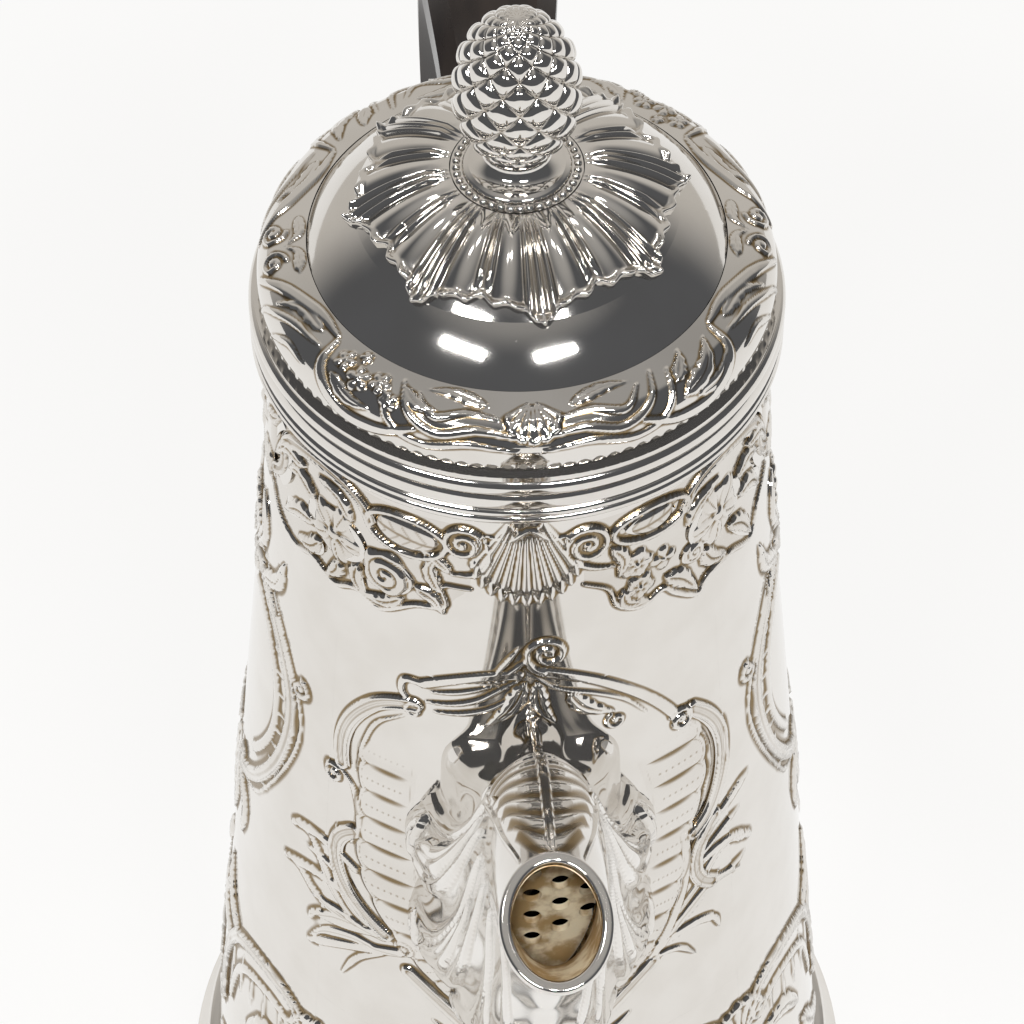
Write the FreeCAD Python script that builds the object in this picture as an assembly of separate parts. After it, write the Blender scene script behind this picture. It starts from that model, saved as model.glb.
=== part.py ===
"""Silver coffee pot: a tapering body on a moulded foot, a cast swan-neck spout, a hinged domed lid with a
fluted calyx and a pine-cone finial, and a dark wood handle pinned into two silver sockets.

Millimetres, +Z up. The origin is the centre of the foot's resting face. The spout points to -Y and the
handle to +Y. Every soldered seam between curved faces has a small solder gap, and every moving fit has a
named clearance.
"""

import FreeCAD, Part
import math
import os

from FreeCAD import Vector

# Fits
solder_gap = 0.05
running_gap = 0.05
hinge_side_gap = 0.15
lid_seat_gap = 0.1
bezel_gap = 0.6
tenon_gap = 0.1

# Body
body_wall_thickness = 1.2
body_base_radius = 57.5
body_base_z = 12.0
neck_radius = 37.2
lip_z = 217.0
lip_bead_height = 3.0
lip_reed_height = 1.5
lip_fillet_height = 1.0
lip_moulding_width = 3.8
lip_reed_depth = 0.5
base_plate_thickness = 1.4

# Chased ornament: raised bands and leaves on the body, each a path of (distance round the body, height)
# from the middle of its motif; a leaf's path is its foot, its middle and its tip
ornament_height = 0.5
ornament_clearance = 0.5
band_half_width = 1.0
frond_half_width = 0.5
leaf_half_width = 1.2
front_bands = [
    [(-18.4, 164.8), (-26.2, 160.8), (-32.6, 143.4)],
    [(27.6, 156.0), (34.4, 145.4), (33.0, 130.6), (28.6, 126.0)],
    [(33.4, 126.4), (29.4, 117.0), (33.2, 110.6)],
    [(-30.6, 128.4), (-34.8, 122.0), (-30.4, 110.6), (-25.0, 106.4)],
    [(21.0, 99.0), (11.0, 88.2), (2.0, 76.0)],
    [(-21.0, 99.0), (-11.0, 88.2), (-2.0, 76.0)],
]
front_fronds = [
    [(1.5, 175.6), (12.0, 170.6), (24.0, 157.4)],
    [(-2.0, 175.0), (-8.0, 174.0), (-17.0, 170.1)],
    [(26.6, 127.0), (26.4, 112.0), (19.4, 98.0)],
    [(29.6, 122.0), (35.0, 125.6), (40.0, 128.0)],
    [(30.4, 117.0), (36.0, 117.4), (41.0, 114.4)],
    [(21.0, 101.0), (28.0, 103.0), (33.0, 101.4)],
    [(-30.8, 119.0), (-37.0, 121.0), (-43.6, 119.6)],
    [(-31.0, 111.4), (-38.0, 111.6), (-45.0, 109.4)],
    [(-25.4, 106.4), (-33.0, 103.4), (-39.0, 101.6)],
    [(-22.6, 103.0), (-31.0, 99.4), (-40.0, 94.0)],
]
front_leaves = [[(0.0, 86.0), (0.0, 76.0), (0.0, 64.0)]]
side_bands = [[(3.0, 164.0), (12.0, 163.0), (24.0, 142.0), (15.0, 116.0), (5.0, 108.0)]]
side_fronds = [[(6.0, 158.0), (14.0, 154.0), (18.0, 131.0), (12.0, 120.0)]]
side_leaves = [
    [(5.0, 167.0), (8.0, 173.0), (5.0, 179.0)],
    [(10.0, 164.0), (15.4, 168.0), (17.0, 174.0)],
    [(6.0, 106.0), (10.0, 100.0), (9.0, 92.0)],
    [(2.0, 108.0), (3.0, 98.0), (1.0, 88.0)],
]
base_bands = [[(4.0, 68.0), (12.0, 72.0), (30.0, 62.0), (36.0, 38.0)]]
base_fronds = [[(6.0, 62.0), (14.0, 65.0), (28.0, 54.0), (31.0, 44.0)]]
base_leaves = [
    [(28.0, 66.0), (34.0, 70.0), (36.0, 78.0)],
    [(8.0, 56.0), (15.0, 54.0), (22.0, 46.0)],
    [(5.0, 48.0), (12.0, 42.0), (20.0, 36.0)],
    [(24.0, 38.0), (30.0, 30.0), (38.0, 26.0)],
]
base_motifs = 4
neck_band_half_width = 0.7
neck_leaf_half_width = 0.9
cabochon_half_width = 1.9
neck_bands = [
    [(25.4, 201.0), (34.0, 205.4), (47.0, 198.0), (51.0, 191.0)],
    [(50.0, 203.0), (57.0, 198.0), (56.6, 188.6)],
]
neck_cabochons = [
    [(14.7, 202.2), (19.2, 202.2), (23.7, 202.2)],
    [(-14.7, 201.2), (-19.2, 201.2), (-23.7, 201.2)],
]
neck_leaves = [
    [(-37.4, 192.0), (-42.0, 190.6), (-46.4, 187.0)],
    [(-36.0, 189.0), (-38.4, 186.4), (-42.0, 185.0)],
    [(-28.0, 190.0), (-28.4, 187.0), (-26.6, 184.4)],
    [(-17.6, 191.0), (-14.8, 189.6), (-13.4, 187.0)],
    [(22.0, 188.6), (25.0, 186.4), (28.2, 182.0)],
    [(29.4, 189.0), (31.4, 186.0), (35.0, 184.0)],
    [(36.0, 189.0), (39.4, 186.6), (43.0, 181.4)],
    [(38.6, 193.0), (43.0, 192.0), (46.6, 188.0)],
]
neck_flowers = [
    {"at": (-32.6, 193.6), "radius": 4.2},
    {"at": (-22.6, 191.4), "radius": 3.6},
    {"at": (32.6, 194.4), "radius": 4.4},
    {"at": (16.6, 194.4), "radius": 2.0},
    {"at": (17.2, 189.4), "radius": 1.8},
    {"at": (27.4, 190.4), "radius": 1.7},
    {"at": (-10.0, 202.6), "radius": 2.6},
    {"at": (8.6, 201.8), "radius": 2.9},
]

# Foot
foot_spread = 5.0
foot_edge_height = 3.0
foot_bearing_width = 3.6
foot_collar_step = 2.1
foot_ledge_width = 4.5
foot_bead_radius = 1.3

# Lid
lid_wall = 1.0
lid_flange_thickness = 2.7
lid_ledge_inset = 0.8
band_foot_inset = 2.4
band_bulge_inset = 1.8
band_bulge_rise = 4.2
band_shoulder_inset = 4.6
band_shoulder_rise = 8.2
dome_line_inset = 9.3
dome_line_rise = 9.3
dome_flare_inset = 12.6
dome_flare_rise = 13.0
calyx_edge_radius = 24.4
calyx_edge_rise = 16.2
dome_crown_radius = 17.2
dome_crown_rise = 21.2
finial_seat_radius = 9.9
finial_seat_rise = 23.4
bezel_wall = 1.0
bezel_depth = 5.0

# Calyx
calyx_thickness = 1.0
calyx_lobes = 13
calyx_notch_radius = 2.6
calyx_notch_depth = 1.7
calyx_flute_radius = 1.15
calyx_flute_depth = 0.55
bead_radius = 0.62
bead_count = 40

# Finial
finial_foot_radius = 8.15
finial_foot_edge = 1.3
finial_stem_radius = 4.4
finial_stem_height = 4.6
cone_radius = 9.1
cone_height = 26.2
cone_wide_share = 0.36
cone_foot_radius = 4.8
scale_rows = 8
scales_per_row = 10
scale_radius = 2.3
stud_radius = 2.0
stud_reach = 10.0
washer_radius = 6.5
washer_thickness = 0.8
nut_radius = 4.6
nut_height = 3.4
stud_tail = 1.2

# Hinge
hinge_set_back = 3.7
knuckle_radius = 2.4
knuckle_count = 5
knuckle_length = 4.6
hinge_pin_radius = 1.1
hinge_pin_head = 0.6
leaf_clearance = 0.3
leaf_thickness = 2.2

# Spout: each station gives the upper and lower line, as reach from the body's face at the strainer and
# height above the strainer, the half width, and how far the lobes swell on the flanks and on the crest
spout_wall = 1.3
spout_root_lobes = 10
spout_section_points = 30
spout_stations = [
    {"upper": (-17.6, 31.5), "lower": (-12.6, -44.0), "half_width": 18.0, "lobe": 0.9, "crest": 1.2},
    {"upper": (-5.6, 33.0), "lower": (5.9, -36.0), "half_width": 17.4, "lobe": 1.1, "crest": 1.5},
    {"upper": (3.9, 37.5), "lower": (20.9, -20.0), "half_width": 14.8, "lobe": 0.9, "crest": 1.3},
    {"upper": (10.9, 46.0), "lower": (33.9, 4.5), "half_width": 11.8, "lobe": 0.5, "crest": 0.5},
    {"upper": (17.4, 56.0), "lower": (43.4, 29.0), "half_width": 9.8, "lobe": 0.15, "crest": 0.0},
    {"upper": (25.9, 64.4), "lower": (51.2, 48.5), "half_width": 8.7, "lobe": 0.0, "crest": 0.0},
    {"upper": (36.9, 70.2), "lower": (58.9, 61.0), "half_width": 8.0, "lobe": 0.0, "crest": 0.0},
    {"upper": (48.4, 75.0), "lower": (66.9, 69.4), "half_width": 7.5, "lobe": 0.0, "crest": 0.0},
]
spout_lip_overhang = 0.5
spout_lip_height = 1.7
spout_lip_round = 0.6
strainer_hole_radius = 1.6
strainer_pitch = 5.4
strainer_rows = 7
strainer_columns = 3
strainer_centre_z = 128.0

# Handle sockets: each stands off the body's face at its own height, tilted up from the horizontal
upper_socket_z = 189.0
upper_socket_length = 21.0
upper_socket_tilt = 12.2
lower_socket_z = 61.0
lower_socket_length = 18.5
lower_socket_tilt = 28.4
socket_sink = 9.0
socket_end_radius = 9.4
socket_waist_radius = 8.5
socket_root_radius = 13.5
socket_rim_width = 2.4
socket_rim_step = 0.7
tenon_radius = 7.0
tenon_length = 14.0
handle_pin_radius = 1.5
handle_pin_inset = 6.5
handle_pin_stand_out = 0.5

# Handle: points of the centre line between the two sockets, as reach from the body's face at the same
# height and height above the base, with width and thickness at each
handle_points = [
    {"at": (27.8, 195.5), "width": 18.6, "thick": 17.6},
    {"at": (40.8, 200.0), "width": 21.5, "thick": 15.0},
    {"at": (55.6, 198.0), "width": 23.8, "thick": 13.4},
    {"at": (66.8, 186.0), "width": 24.2, "thick": 13.0},
    {"at": (70.8, 166.0), "width": 24.2, "thick": 13.0},
    {"at": (66.9, 143.0), "width": 23.6, "thick": 13.0},
    {"at": (56.5, 119.0), "width": 22.4, "thick": 13.2},
    {"at": (42.8, 98.0), "width": 20.8, "thick": 13.8},
    {"at": (29.6, 81.5), "width": 19.4, "thick": 15.4},
]
handle_chamfer = 3.2

# Places worked out from the driving dimensions
lip_moulding_height = lip_bead_height + 2 * lip_reed_height + lip_fillet_height
lip_moulding_radius = neck_radius + lip_moulding_width
lid_ledge_radius = lip_moulding_radius - lid_ledge_inset
band_foot_radius = lip_moulding_radius - band_foot_inset
band_bulge_radius = lip_moulding_radius - band_bulge_inset
band_shoulder_radius = lip_moulding_radius - band_shoulder_inset
dome_line_radius = lip_moulding_radius - dome_line_inset
dome_flare_radius = lip_moulding_radius - dome_flare_inset
foot_radius = body_base_radius + foot_spread
foot_collar_radius = body_base_radius + foot_collar_step
foot_inner_radius = body_base_radius - foot_ledge_width
neck_bottom_z = lip_z - lip_moulding_height
lid_base_z = lip_z + lid_seat_gap
ledge_z = lid_base_z + lid_flange_thickness
lid_top_z = ledge_z + lid_wall
seat_z = lid_top_z + finial_seat_rise
mouth_radius = neck_radius - body_wall_thickness
bezel_radius = mouth_radius - bezel_gap
hinge_y = lip_moulding_radius + hinge_set_back
hinge_z = lip_z + lid_seat_gap / 2
cone_base_z = seat_z + finial_stem_height
ornament_root = body_wall_thickness / 2
overshoot = 20.0
upper_socket = {"z": upper_socket_z, "length": upper_socket_length, "tilt": upper_socket_tilt}
lower_socket = {"z": lower_socket_z, "length": lower_socket_length, "tilt": lower_socket_tilt}


def body_radius_at(z):
    """Outer radius of the tapering body at a height."""
    share = (z - body_base_z) / (neck_bottom_z - body_base_z)
    return body_base_radius + (neck_radius - body_base_radius) * share


def in_section(radius, z):
    """A point of a turned profile, drawn in the XZ plane."""
    return Vector(radius, 0, z)


def outline_edges(points):
    """Edges through a profile that lists a point, then a mid point or None, then a point, and so on."""
    edges = []
    for i in range(0, len(points) - 2, 2):
        start, middle, end = points[i], points[i + 1], points[i + 2]
        if middle is None:
            edges.append(Part.LineSegment(in_section(*start), in_section(*end)).toShape())
        else:
            arc = Part.Arc(in_section(*start), in_section(*middle), in_section(*end))
            edges.append(arc.toShape())
    return edges


def turned(points):
    """A solid of revolution about Z from a closed profile of points and mid points."""
    closed = points if points[0] == points[-1] else points + [None, points[0]]
    face = Part.Face(Part.Wire(outline_edges(closed)))
    return face.revolve(Vector(0, 0, 0), Vector(0, 0, 1), 360)


def ring(inner, outer, low, high):
    """A plain turned ring."""
    return turned([(inner, low), None, (outer, low), None, (outer, high), None, (inner, high)])


def offset_profile(points, distance):
    """The profile moved sideways by a distance, to the right of its direction of travel when positive."""
    plain = [p for p in points if p is not None]
    moved = {}
    for i, p in enumerate(plain):
        before = plain[max(i - 1, 0)]
        after = plain[min(i + 1, len(plain) - 1)]
        along = (after[0] - before[0], after[1] - before[1])
        size = math.hypot(*along)
        moved[p] = (p[0] + distance * along[1] / size, p[1] - distance * along[0] / size)
    return [None if p is None else moved[p] for p in points]


def sheet_between(outer, inner):
    """Closed profile between two like profiles, out along one and back along the other."""
    return outer + [None] + inner[::-1]


def cylinder_along_x(radius, length, y, z):
    return Part.makeCylinder(radius, length, Vector(-length / 2, y, z), Vector(1, 0, 0))


def export(shape, name):
    os.makedirs("parts", exist_ok=True)
    assert shape.isValid(), name
    shape.exportStep(f"parts/{name}.step")
    print(f"{name}: {len(shape.Solids)} solid(s), {shape.Volume:.1f} mm3")


# Body


def body_cone(extra):
    """The body's outside as one solid, grown by a gap, for cutting what is soldered on to it."""
    return turned([
        (0, body_base_z - overshoot), None,
        (body_radius_at(body_base_z - overshoot) + extra, body_base_z - overshoot), None,
        (neck_radius + extra, neck_bottom_z), None,
        (neck_radius + extra, lip_z), None,
        (0, lip_z),
    ])


def strainer_holes():
    """Drills for the pierced strainer behind the spout, in staggered columns."""
    drills = []
    for column in range(-strainer_columns + 1, strainer_columns):
        rows = strainer_rows - abs(column)
        for row in range(rows):
            x = column * strainer_pitch * math.cos(math.radians(30))
            z = strainer_centre_z + (row - (rows - 1) / 2) * strainer_pitch
            reach = body_base_radius + overshoot
            start = Vector(x, -reach, z)
            drills.append(Part.makeCylinder(strainer_hole_radius, reach, start, Vector(0, 1, 0)))
    return drills


def ornament_shell():
    """A skin that straddles the body's face, from which the raised ornament is cut."""
    inner, outer = body_cone(-ornament_root), body_cone(ornament_height)
    return outer.cut(inner)


def on_face(around, z):
    """A place on the body's face laid flat, seen square on from the front."""
    radius = body_radius_at(z)
    return Vector(radius * math.sin(around / radius), 0, z)


def heading(start, end):
    return math.atan2(end.z - start.z, end.x - start.x)


def moved_aside(place, direction, distance):
    """A place moved to the left of a direction, in the flat of the motif."""
    return place + Vector(-math.sin(direction), 0, math.cos(direction)) * distance


def band_outline(path, half_width):
    """Both sides of a band as arcs, each arc leaving in the direction in which the last one ended."""
    places = [on_face(*point) for point in path]
    chords = [heading(*pair) for pair in zip(places, places[1:])]
    direction = chords[0] - in_half_turn(chords[1] - chords[0]) / 2
    left, right = [], []
    for start, end, chord in zip(places, places[1:], chords):
        turn = 2 * in_half_turn(chord - direction)
        bow = -(end - start).Length / 2 * math.tan(turn / 4)
        middle = moved_aside((start + end) / 2, chord, bow)
        stops = ((start, direction), (middle, chord), (end, direction + turn))
        for side, offset in ((left, half_width), (right, -half_width)):
            side.append(Part.Arc(*[moved_aside(at, way, offset) for at, way in stops]).toShape())
        direction += turn
    caps = [
        Part.LineSegment(left[-1].lastVertex().Point, right[-1].lastVertex().Point).toShape(),
        Part.LineSegment(left[0].firstVertex().Point, right[0].firstVertex().Point).toShape(),
    ]
    return left + right + caps


def in_half_turn(angle):
    return math.atan2(math.sin(angle), math.cos(angle))


def leaf_outline(path, half_width):
    """Two arcs that meet at the leaf's foot and tip."""
    foot, middle, tip = [on_face(*point) for point in path]
    along = heading(foot, tip)
    bulges = [moved_aside(middle, along, offset) for offset in (half_width, -half_width)]
    return [Part.Arc(foot, bulge, tip).toShape() for bulge in bulges]


def prism(edges):
    """The outline, drawn out forwards through the body's face."""
    wire = Part.Wire(Part.__sortEdges__(edges))
    return Part.Face(wire).extrude(Vector(0, -2 * body_base_radius, 0))


def mirrored(paths):
    """The paths, with their mirror images on the motif's other half."""
    return paths + [[(-around, z) for around, z in path] for path in paths]


def flower_outline(flower):
    return [Part.Circle(on_face(*flower["at"]), Vector(0, 1, 0), flower["radius"]).toShape()]


def motif(shell, outlines, angles):
    """The raised pieces of one motif, copied to each of its places round the body."""
    pads = [shell.common(prism(edges)) for edges in outlines]
    placed = []
    for angle in angles:
        for pad in pads:
            copy = pad.copy()
            copy.rotate(Vector(0, 0, 0), Vector(0, 0, 1), angle)
            placed.append(copy)
    return placed


def scroll_outlines(bands, fronds, leaves):
    outlines = [band_outline(path, band_half_width) for path in bands]
    outlines += [band_outline(path, frond_half_width) for path in fronds]
    return outlines + [leaf_outline(path, leaf_half_width) for path in leaves]


def garland_outlines():
    outlines = [band_outline(path, neck_band_half_width) for path in mirrored(neck_bands)]
    outlines += [leaf_outline(path, cabochon_half_width) for path in neck_cabochons]
    outlines += [leaf_outline(path, neck_leaf_half_width) for path in neck_leaves]
    return outlines + [flower_outline(flower) for flower in neck_flowers]


def body_ornament():
    shell = ornament_shell()
    spread = [360.0 * (k + 0.5) / base_motifs for k in range(base_motifs)]
    sides = scroll_outlines(mirrored(side_bands), mirrored(side_fronds), mirrored(side_leaves))
    base = scroll_outlines(mirrored(base_bands), mirrored(base_fronds), mirrored(base_leaves))
    pads = motif(shell, scroll_outlines(front_bands, front_fronds, front_leaves), [0])
    pads += motif(shell, sides, [-90, 90])
    pads += motif(shell, base, spread)
    pads += motif(shell, garland_outlines(), [0, 180])
    clearings = [socket_clearing(upper_socket), socket_clearing(lower_socket)]
    pads = [pad.cut(clearings) for pad in pads]
    return [pad for pad in pads if pad.Solids]


def body_wall():
    """Raised and chased body: a tapering wall with a straight neck, its ornament, and a pierced strainer."""
    wall = turned([
        (body_base_radius, body_base_z), None,
        (neck_radius, neck_bottom_z), None,
        (neck_radius, lip_z), None,
        (mouth_radius, lip_z), None,
        (mouth_radius, neck_bottom_z), None,
        (body_base_radius - body_wall_thickness, body_base_z),
    ])
    return wall.multiFuse(body_ornament()).cut(strainer_holes())


def base_plate():
    radius = body_base_radius - body_wall_thickness - solder_gap
    slope = (body_base_radius - neck_radius) / (neck_bottom_z - body_base_z)
    top = body_base_z + base_plate_thickness
    return turned([
        (0, body_base_z), None,
        (radius, body_base_z), None,
        (radius - slope * base_plate_thickness, top), None,
        (0, top),
    ])


def foot_ring():
    """Moulded foot: a bead under the body, a hollow flare and a plain bearing edge."""
    bead_low = body_base_z - 2 * foot_bead_radius
    neck = foot_collar_radius - foot_bead_radius
    flare = ((neck + foot_radius) / 2 - foot_bead_radius / 2, (bead_low + foot_edge_height) / 2)
    bearing_inner = foot_radius - foot_bearing_width
    return turned([
        (foot_inner_radius, body_base_z), None,
        (neck, body_base_z), (foot_collar_radius, body_base_z - foot_bead_radius),
        (neck, bead_low), flare,
        (foot_radius, foot_edge_height), None,
        (foot_radius, 0), None,
        (bearing_inner, 0), None,
        (bearing_inner, foot_edge_height), None,
        (foot_inner_radius, bead_low),
    ])


def lip_moulding():
    """Reeded wire round the mouth: a broad half round over two thin reeds."""
    inner = neck_radius + solder_gap
    outer = lip_moulding_radius
    groove = outer - lip_reed_depth
    bead_low = lip_z - lip_bead_height
    first_low = bead_low - lip_reed_height
    second_low = first_low - lip_reed_height
    return turned([
        (inner, lip_z), None,
        (groove, lip_z), (outer, lip_z - lip_bead_height / 2),
        (groove, bead_low), (outer, bead_low - lip_reed_height / 2),
        (groove, first_low), (outer, first_low - lip_reed_height / 2),
        (groove, second_low), None,
        (inner, neck_bottom_z),
    ])


# Spout


def spout_point(reach, rise):
    """A point on the middle plane, from its reach off the body's face and its height above the strainer."""
    return Vector(0, -body_radius_at(strainer_centre_z) - reach, strainer_centre_z + rise)


def spout_outline(station, inset, angle):
    """A point of one spout section: angle 0 is its upper line, a quarter turn is its right-hand side."""
    upper = spout_point(*station["upper"])
    lower = spout_point(*station["lower"])
    axis = (upper - lower).normalize()
    on_crest = abs(angle) < 1.5 * 2 * math.pi / spout_root_lobes
    lobe = station["crest" if on_crest else "lobe"] if inset <= 0 else 0
    swell = lobe * (1 + math.cos(spout_root_lobes * angle)) - inset
    along = ((upper - lower).Length / 2 + swell) * math.cos(angle)
    across = (station["half_width"] + swell) * math.sin(angle)
    return (upper + lower) * 0.5 + axis * along + Vector(across, 0, 0)


def spout_section(station, inset):
    """A whole section as a closed wire."""
    count = 2 * spout_section_points
    turns = [2 * math.pi * i / count for i in range(count)]
    curve = Part.BSplineCurve()
    curve.interpolate(Points=[spout_outline(station, inset, t) for t in turns], PeriodicFlag=True)
    return Part.Wire(curve.toShape())


def spout_skin(inset):
    """The right-hand half of the spout's skin, from root to lip, ending on the pot's middle plane."""
    turns = [math.pi * i / spout_section_points for i in range(spout_section_points + 1)]
    skin = Part.BSplineSurface()
    skin.interpolate([[spout_outline(s, inset, t) for t in turns] for s in spout_stations])
    return skin


def skin_borders(skin):
    """The four border edges of a skin: root, lip, upper seam and lower seam."""
    first_u, last_u, first_v, last_v = skin.bounds()
    return [
        skin.uIso(first_u).toShape(), skin.uIso(last_u).toShape(),
        skin.vIso(first_v).toShape(), skin.vIso(last_v).toShape(),
    ]


def lip_normal():
    last = spout_stations[-1]
    across = spout_point(*last["lower"]) - spout_point(*last["upper"])
    return Vector(1, 0, 0).cross(across).normalize() * -1


def spout_right_half():
    """One cast half of the hollow spout: two skins joined along their borders, cut to the body's taper."""
    outer, inner = spout_skin(0), spout_skin(spout_wall)
    faces = [outer.toShape(), inner.toShape()]
    for outer_edge, inner_edge in zip(skin_borders(outer), skin_borders(inner)):
        faces.append(Part.makeRuledSurface(outer_edge, inner_edge))
    shell = Part.makeShell(faces)
    shell.sewShape()
    half = Part.makeSolid(shell)
    if half.Volume < 0:
        half.reverse()
    return half.cut(body_cone(solder_gap))


def spout_lip():
    """Rolled wire soldered round the pouring end."""
    last = spout_stations[-1]
    outer = Part.Face(spout_section(last, -spout_lip_overhang))
    inner = Part.Face(spout_section(last, spout_wall))
    wire = outer.cut(inner).extrude(lip_normal() * spout_lip_height)
    return wire.makeFillet(spout_lip_round, wire.Edges)


# Lid


def dome_profile():
    """Outside of the lid from its ledge to the finial's seat, rising from the ledge's top face."""
    top = lid_top_z
    return [
        (lid_ledge_radius, top), None,
        (band_foot_radius, top), (band_bulge_radius, top + band_bulge_rise),
        (band_shoulder_radius, top + band_shoulder_rise), None,
        (dome_line_radius, top + dome_line_rise), (dome_flare_radius, top + dome_flare_rise),
        (calyx_edge_radius, top + calyx_edge_rise), (dome_crown_radius, top + dome_crown_rise),
        (finial_seat_radius, seat_z),
    ]


def lid_dome():
    outer = dome_profile()
    inner = offset_profile(outer, -lid_wall)
    inner[0] = (lid_ledge_radius, ledge_z)
    inner[2] = (band_foot_radius - lid_wall, ledge_z)
    inner[-1] = (finial_seat_radius, seat_z - lid_wall)
    hole = stud_radius + running_gap
    flat_out = [None, (hole, seat_z), None, (hole, seat_z - lid_wall)]
    return turned(outer + flat_out + [None] + inner[::-1])


def lid_flange():
    inner = bezel_radius + solder_gap
    nose = lid_flange_thickness / 2
    shoulder = lip_moulding_radius - nose * 0.55
    return turned([
        (inner, lid_base_z), None,
        (shoulder, lid_base_z), (lip_moulding_radius, lid_base_z + nose),
        (shoulder, ledge_z), None,
        (inner, ledge_z),
    ])


def lid_bezel():
    return ring(bezel_radius - bezel_wall, bezel_radius, lip_z - bezel_depth, ledge_z)


def crown_arc():
    """Centre and radius of the dome's upper arc in its meridian plane."""
    points = [p for p in dome_profile() if p is not None][-3:]
    circle = Part.Arc(*[in_section(*p) for p in points]).toShape().Curve
    return circle.Center, circle.Radius


def around_axis(shape, count, turn=0.0):
    """Copies of a shape spread evenly round Z."""
    copies = []
    for i in range(count):
        copy = shape.copy()
        copy.rotate(Vector(0, 0, 0), Vector(0, 0, 1), turn + 360.0 * i / count)
        copies.append(copy)
    return copies


def lid_calyx():
    """Fluted rosette laid over the crown of the dome, with a notched edge, made of like sectors."""
    crown = dome_profile()[-3:]
    under = offset_profile(crown, solder_gap)
    over = offset_profile(crown, solder_gap + calyx_thickness)
    inner_wall = finial_seat_radius + solder_gap
    under[-1] = (inner_wall, under[-1][1])
    over[-1] = (inner_wall, over[-1][1])
    lobe_angle = 360.0 / calyx_lobes
    closed = sheet_between(under, over)
    face = Part.Face(Part.Wire(outline_edges(closed + [None, closed[0]])))
    face.rotate(Vector(0, 0, 0), Vector(0, 0, 1), -lobe_angle / 2)
    sector = face.revolve(Vector(0, 0, 0), Vector(0, 0, 1), lobe_angle)
    notch_at = calyx_edge_radius + calyx_notch_radius - calyx_notch_depth
    notch = Part.makeCylinder(
        calyx_notch_radius, overshoot, Vector(notch_at, 0, lid_top_z + calyx_edge_rise - overshoot / 2)
    )
    centre, radius = crown_arc()
    path = radius + solder_gap + calyx_thickness + calyx_flute_radius - calyx_flute_depth
    flute = Part.makeTorus(path, calyx_flute_radius, centre, Vector(0, -1, 0))
    cuts = [notch]
    for side in (-1, 1):
        groove = flute.copy()
        groove.rotate(Vector(0, 0, 0), Vector(0, 0, 1), side * lobe_angle / 4)
        cuts.append(groove)
    sectors = around_axis(sector.cut(cuts), calyx_lobes, lobe_angle / 2 - 90)
    return sectors[0].multiFuse(sectors[1:])


def bead_collar():
    """Beaded wire round the finial's foot."""
    inner = finial_foot_radius + solder_gap
    outer = finial_seat_radius - solder_gap
    middle = (inner + outer) / 2
    band = ring(inner, outer, seat_z, seat_z + bead_radius)
    bead = Part.makeSphere(bead_radius, Vector(middle, 0, seat_z + bead_radius))
    return band.multiFuse(around_axis(bead, bead_count))


# Finial


def finial_foot():
    """Disc and trumpet-shaped stem that carry the cone."""
    bore = stud_radius + running_gap
    edge_top = seat_z + finial_foot_edge
    step = finial_foot_radius - 0.9
    waist = (finial_stem_radius + 0.2, seat_z + finial_stem_height * 0.66)
    return turned([
        (bore, seat_z), None,
        (finial_foot_radius - 0.4, seat_z), (finial_foot_radius, seat_z + finial_foot_edge / 2),
        (finial_foot_radius - 0.4, edge_top), None,
        (step, edge_top + 0.25), waist,
        (finial_stem_radius, cone_base_z), None,
        (bore, cone_base_z),
    ])


def cone_radius_at(share):
    """Radius of the cone's core at a share of its height: an egg, widest below its middle."""
    if share <= cone_wide_share:
        rise = math.sin(0.5 * math.pi * share / cone_wide_share)
        return cone_foot_radius + (cone_radius - cone_foot_radius) * rise
    fall = (share - cone_wide_share) / (1 - cone_wide_share)
    return cone_radius * math.sqrt(max(0.0, 1 - fall ** 2.2))


def finial_cone():
    """Pine cone: an egg-shaped core set with staggered rows of rounded scales, bored for the stud."""
    top_share = 0.97
    wide = (cone_radius, cone_base_z + cone_height * cone_wide_share)
    low_mid = (cone_radius_at(cone_wide_share / 2), cone_base_z + cone_height * cone_wide_share / 2)
    high_share = (1 + cone_wide_share) / 2
    core_top = cone_base_z + cone_height * top_share
    core = turned([
        (0, cone_base_z), None,
        (cone_foot_radius, cone_base_z), low_mid,
        wide, (cone_radius_at(high_share), cone_base_z + cone_height * high_share),
        (0, core_top),
    ])
    scales = []
    for row in range(scale_rows):
        share = 0.16 + 0.72 * row / (scale_rows - 1)
        radius = scale_radius * (1 - 0.35 * share)
        set_in = cone_radius_at(share) - radius * 0.62
        ball = Part.makeSphere(radius, Vector(set_in, 0, cone_base_z + cone_height * share))
        scales += around_axis(ball, scales_per_row, 180.0 / scales_per_row * (row % 2))
    tip = Part.makeSphere(scale_radius, Vector(0, 0, cone_base_z + cone_height - scale_radius))
    bored = core.multiFuse(scales + [tip])
    bore = Part.makeCylinder(stud_radius + running_gap, stud_reach, Vector(0, 0, cone_base_z))
    return bored.cut(bore)


def washer_low_z():
    return seat_z - lid_wall - washer_thickness


def finial_stud():
    low = washer_low_z() - nut_height - stud_tail
    return Part.makeCylinder(stud_radius, cone_base_z + stud_reach - low, Vector(0, 0, low))


def finial_washer():
    return ring(stud_radius + running_gap, washer_radius, washer_low_z(), seat_z - lid_wall)


def finial_nut():
    low = washer_low_z() - nut_height
    corners = [
        Vector(nut_radius * math.cos(i * math.pi / 3), nut_radius * math.sin(i * math.pi / 3), low)
        for i in range(7)
    ]
    prism = Part.Face(Part.makePolygon(corners)).extrude(Vector(0, 0, nut_height))
    return prism.cut(Part.makeCylinder(stud_radius + running_gap, nut_height, Vector(0, 0, low)))


# Hinge


def knuckle_pitch():
    return knuckle_length + hinge_side_gap


def hinge_width():
    return knuckle_count * knuckle_pitch() - hinge_side_gap


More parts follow.
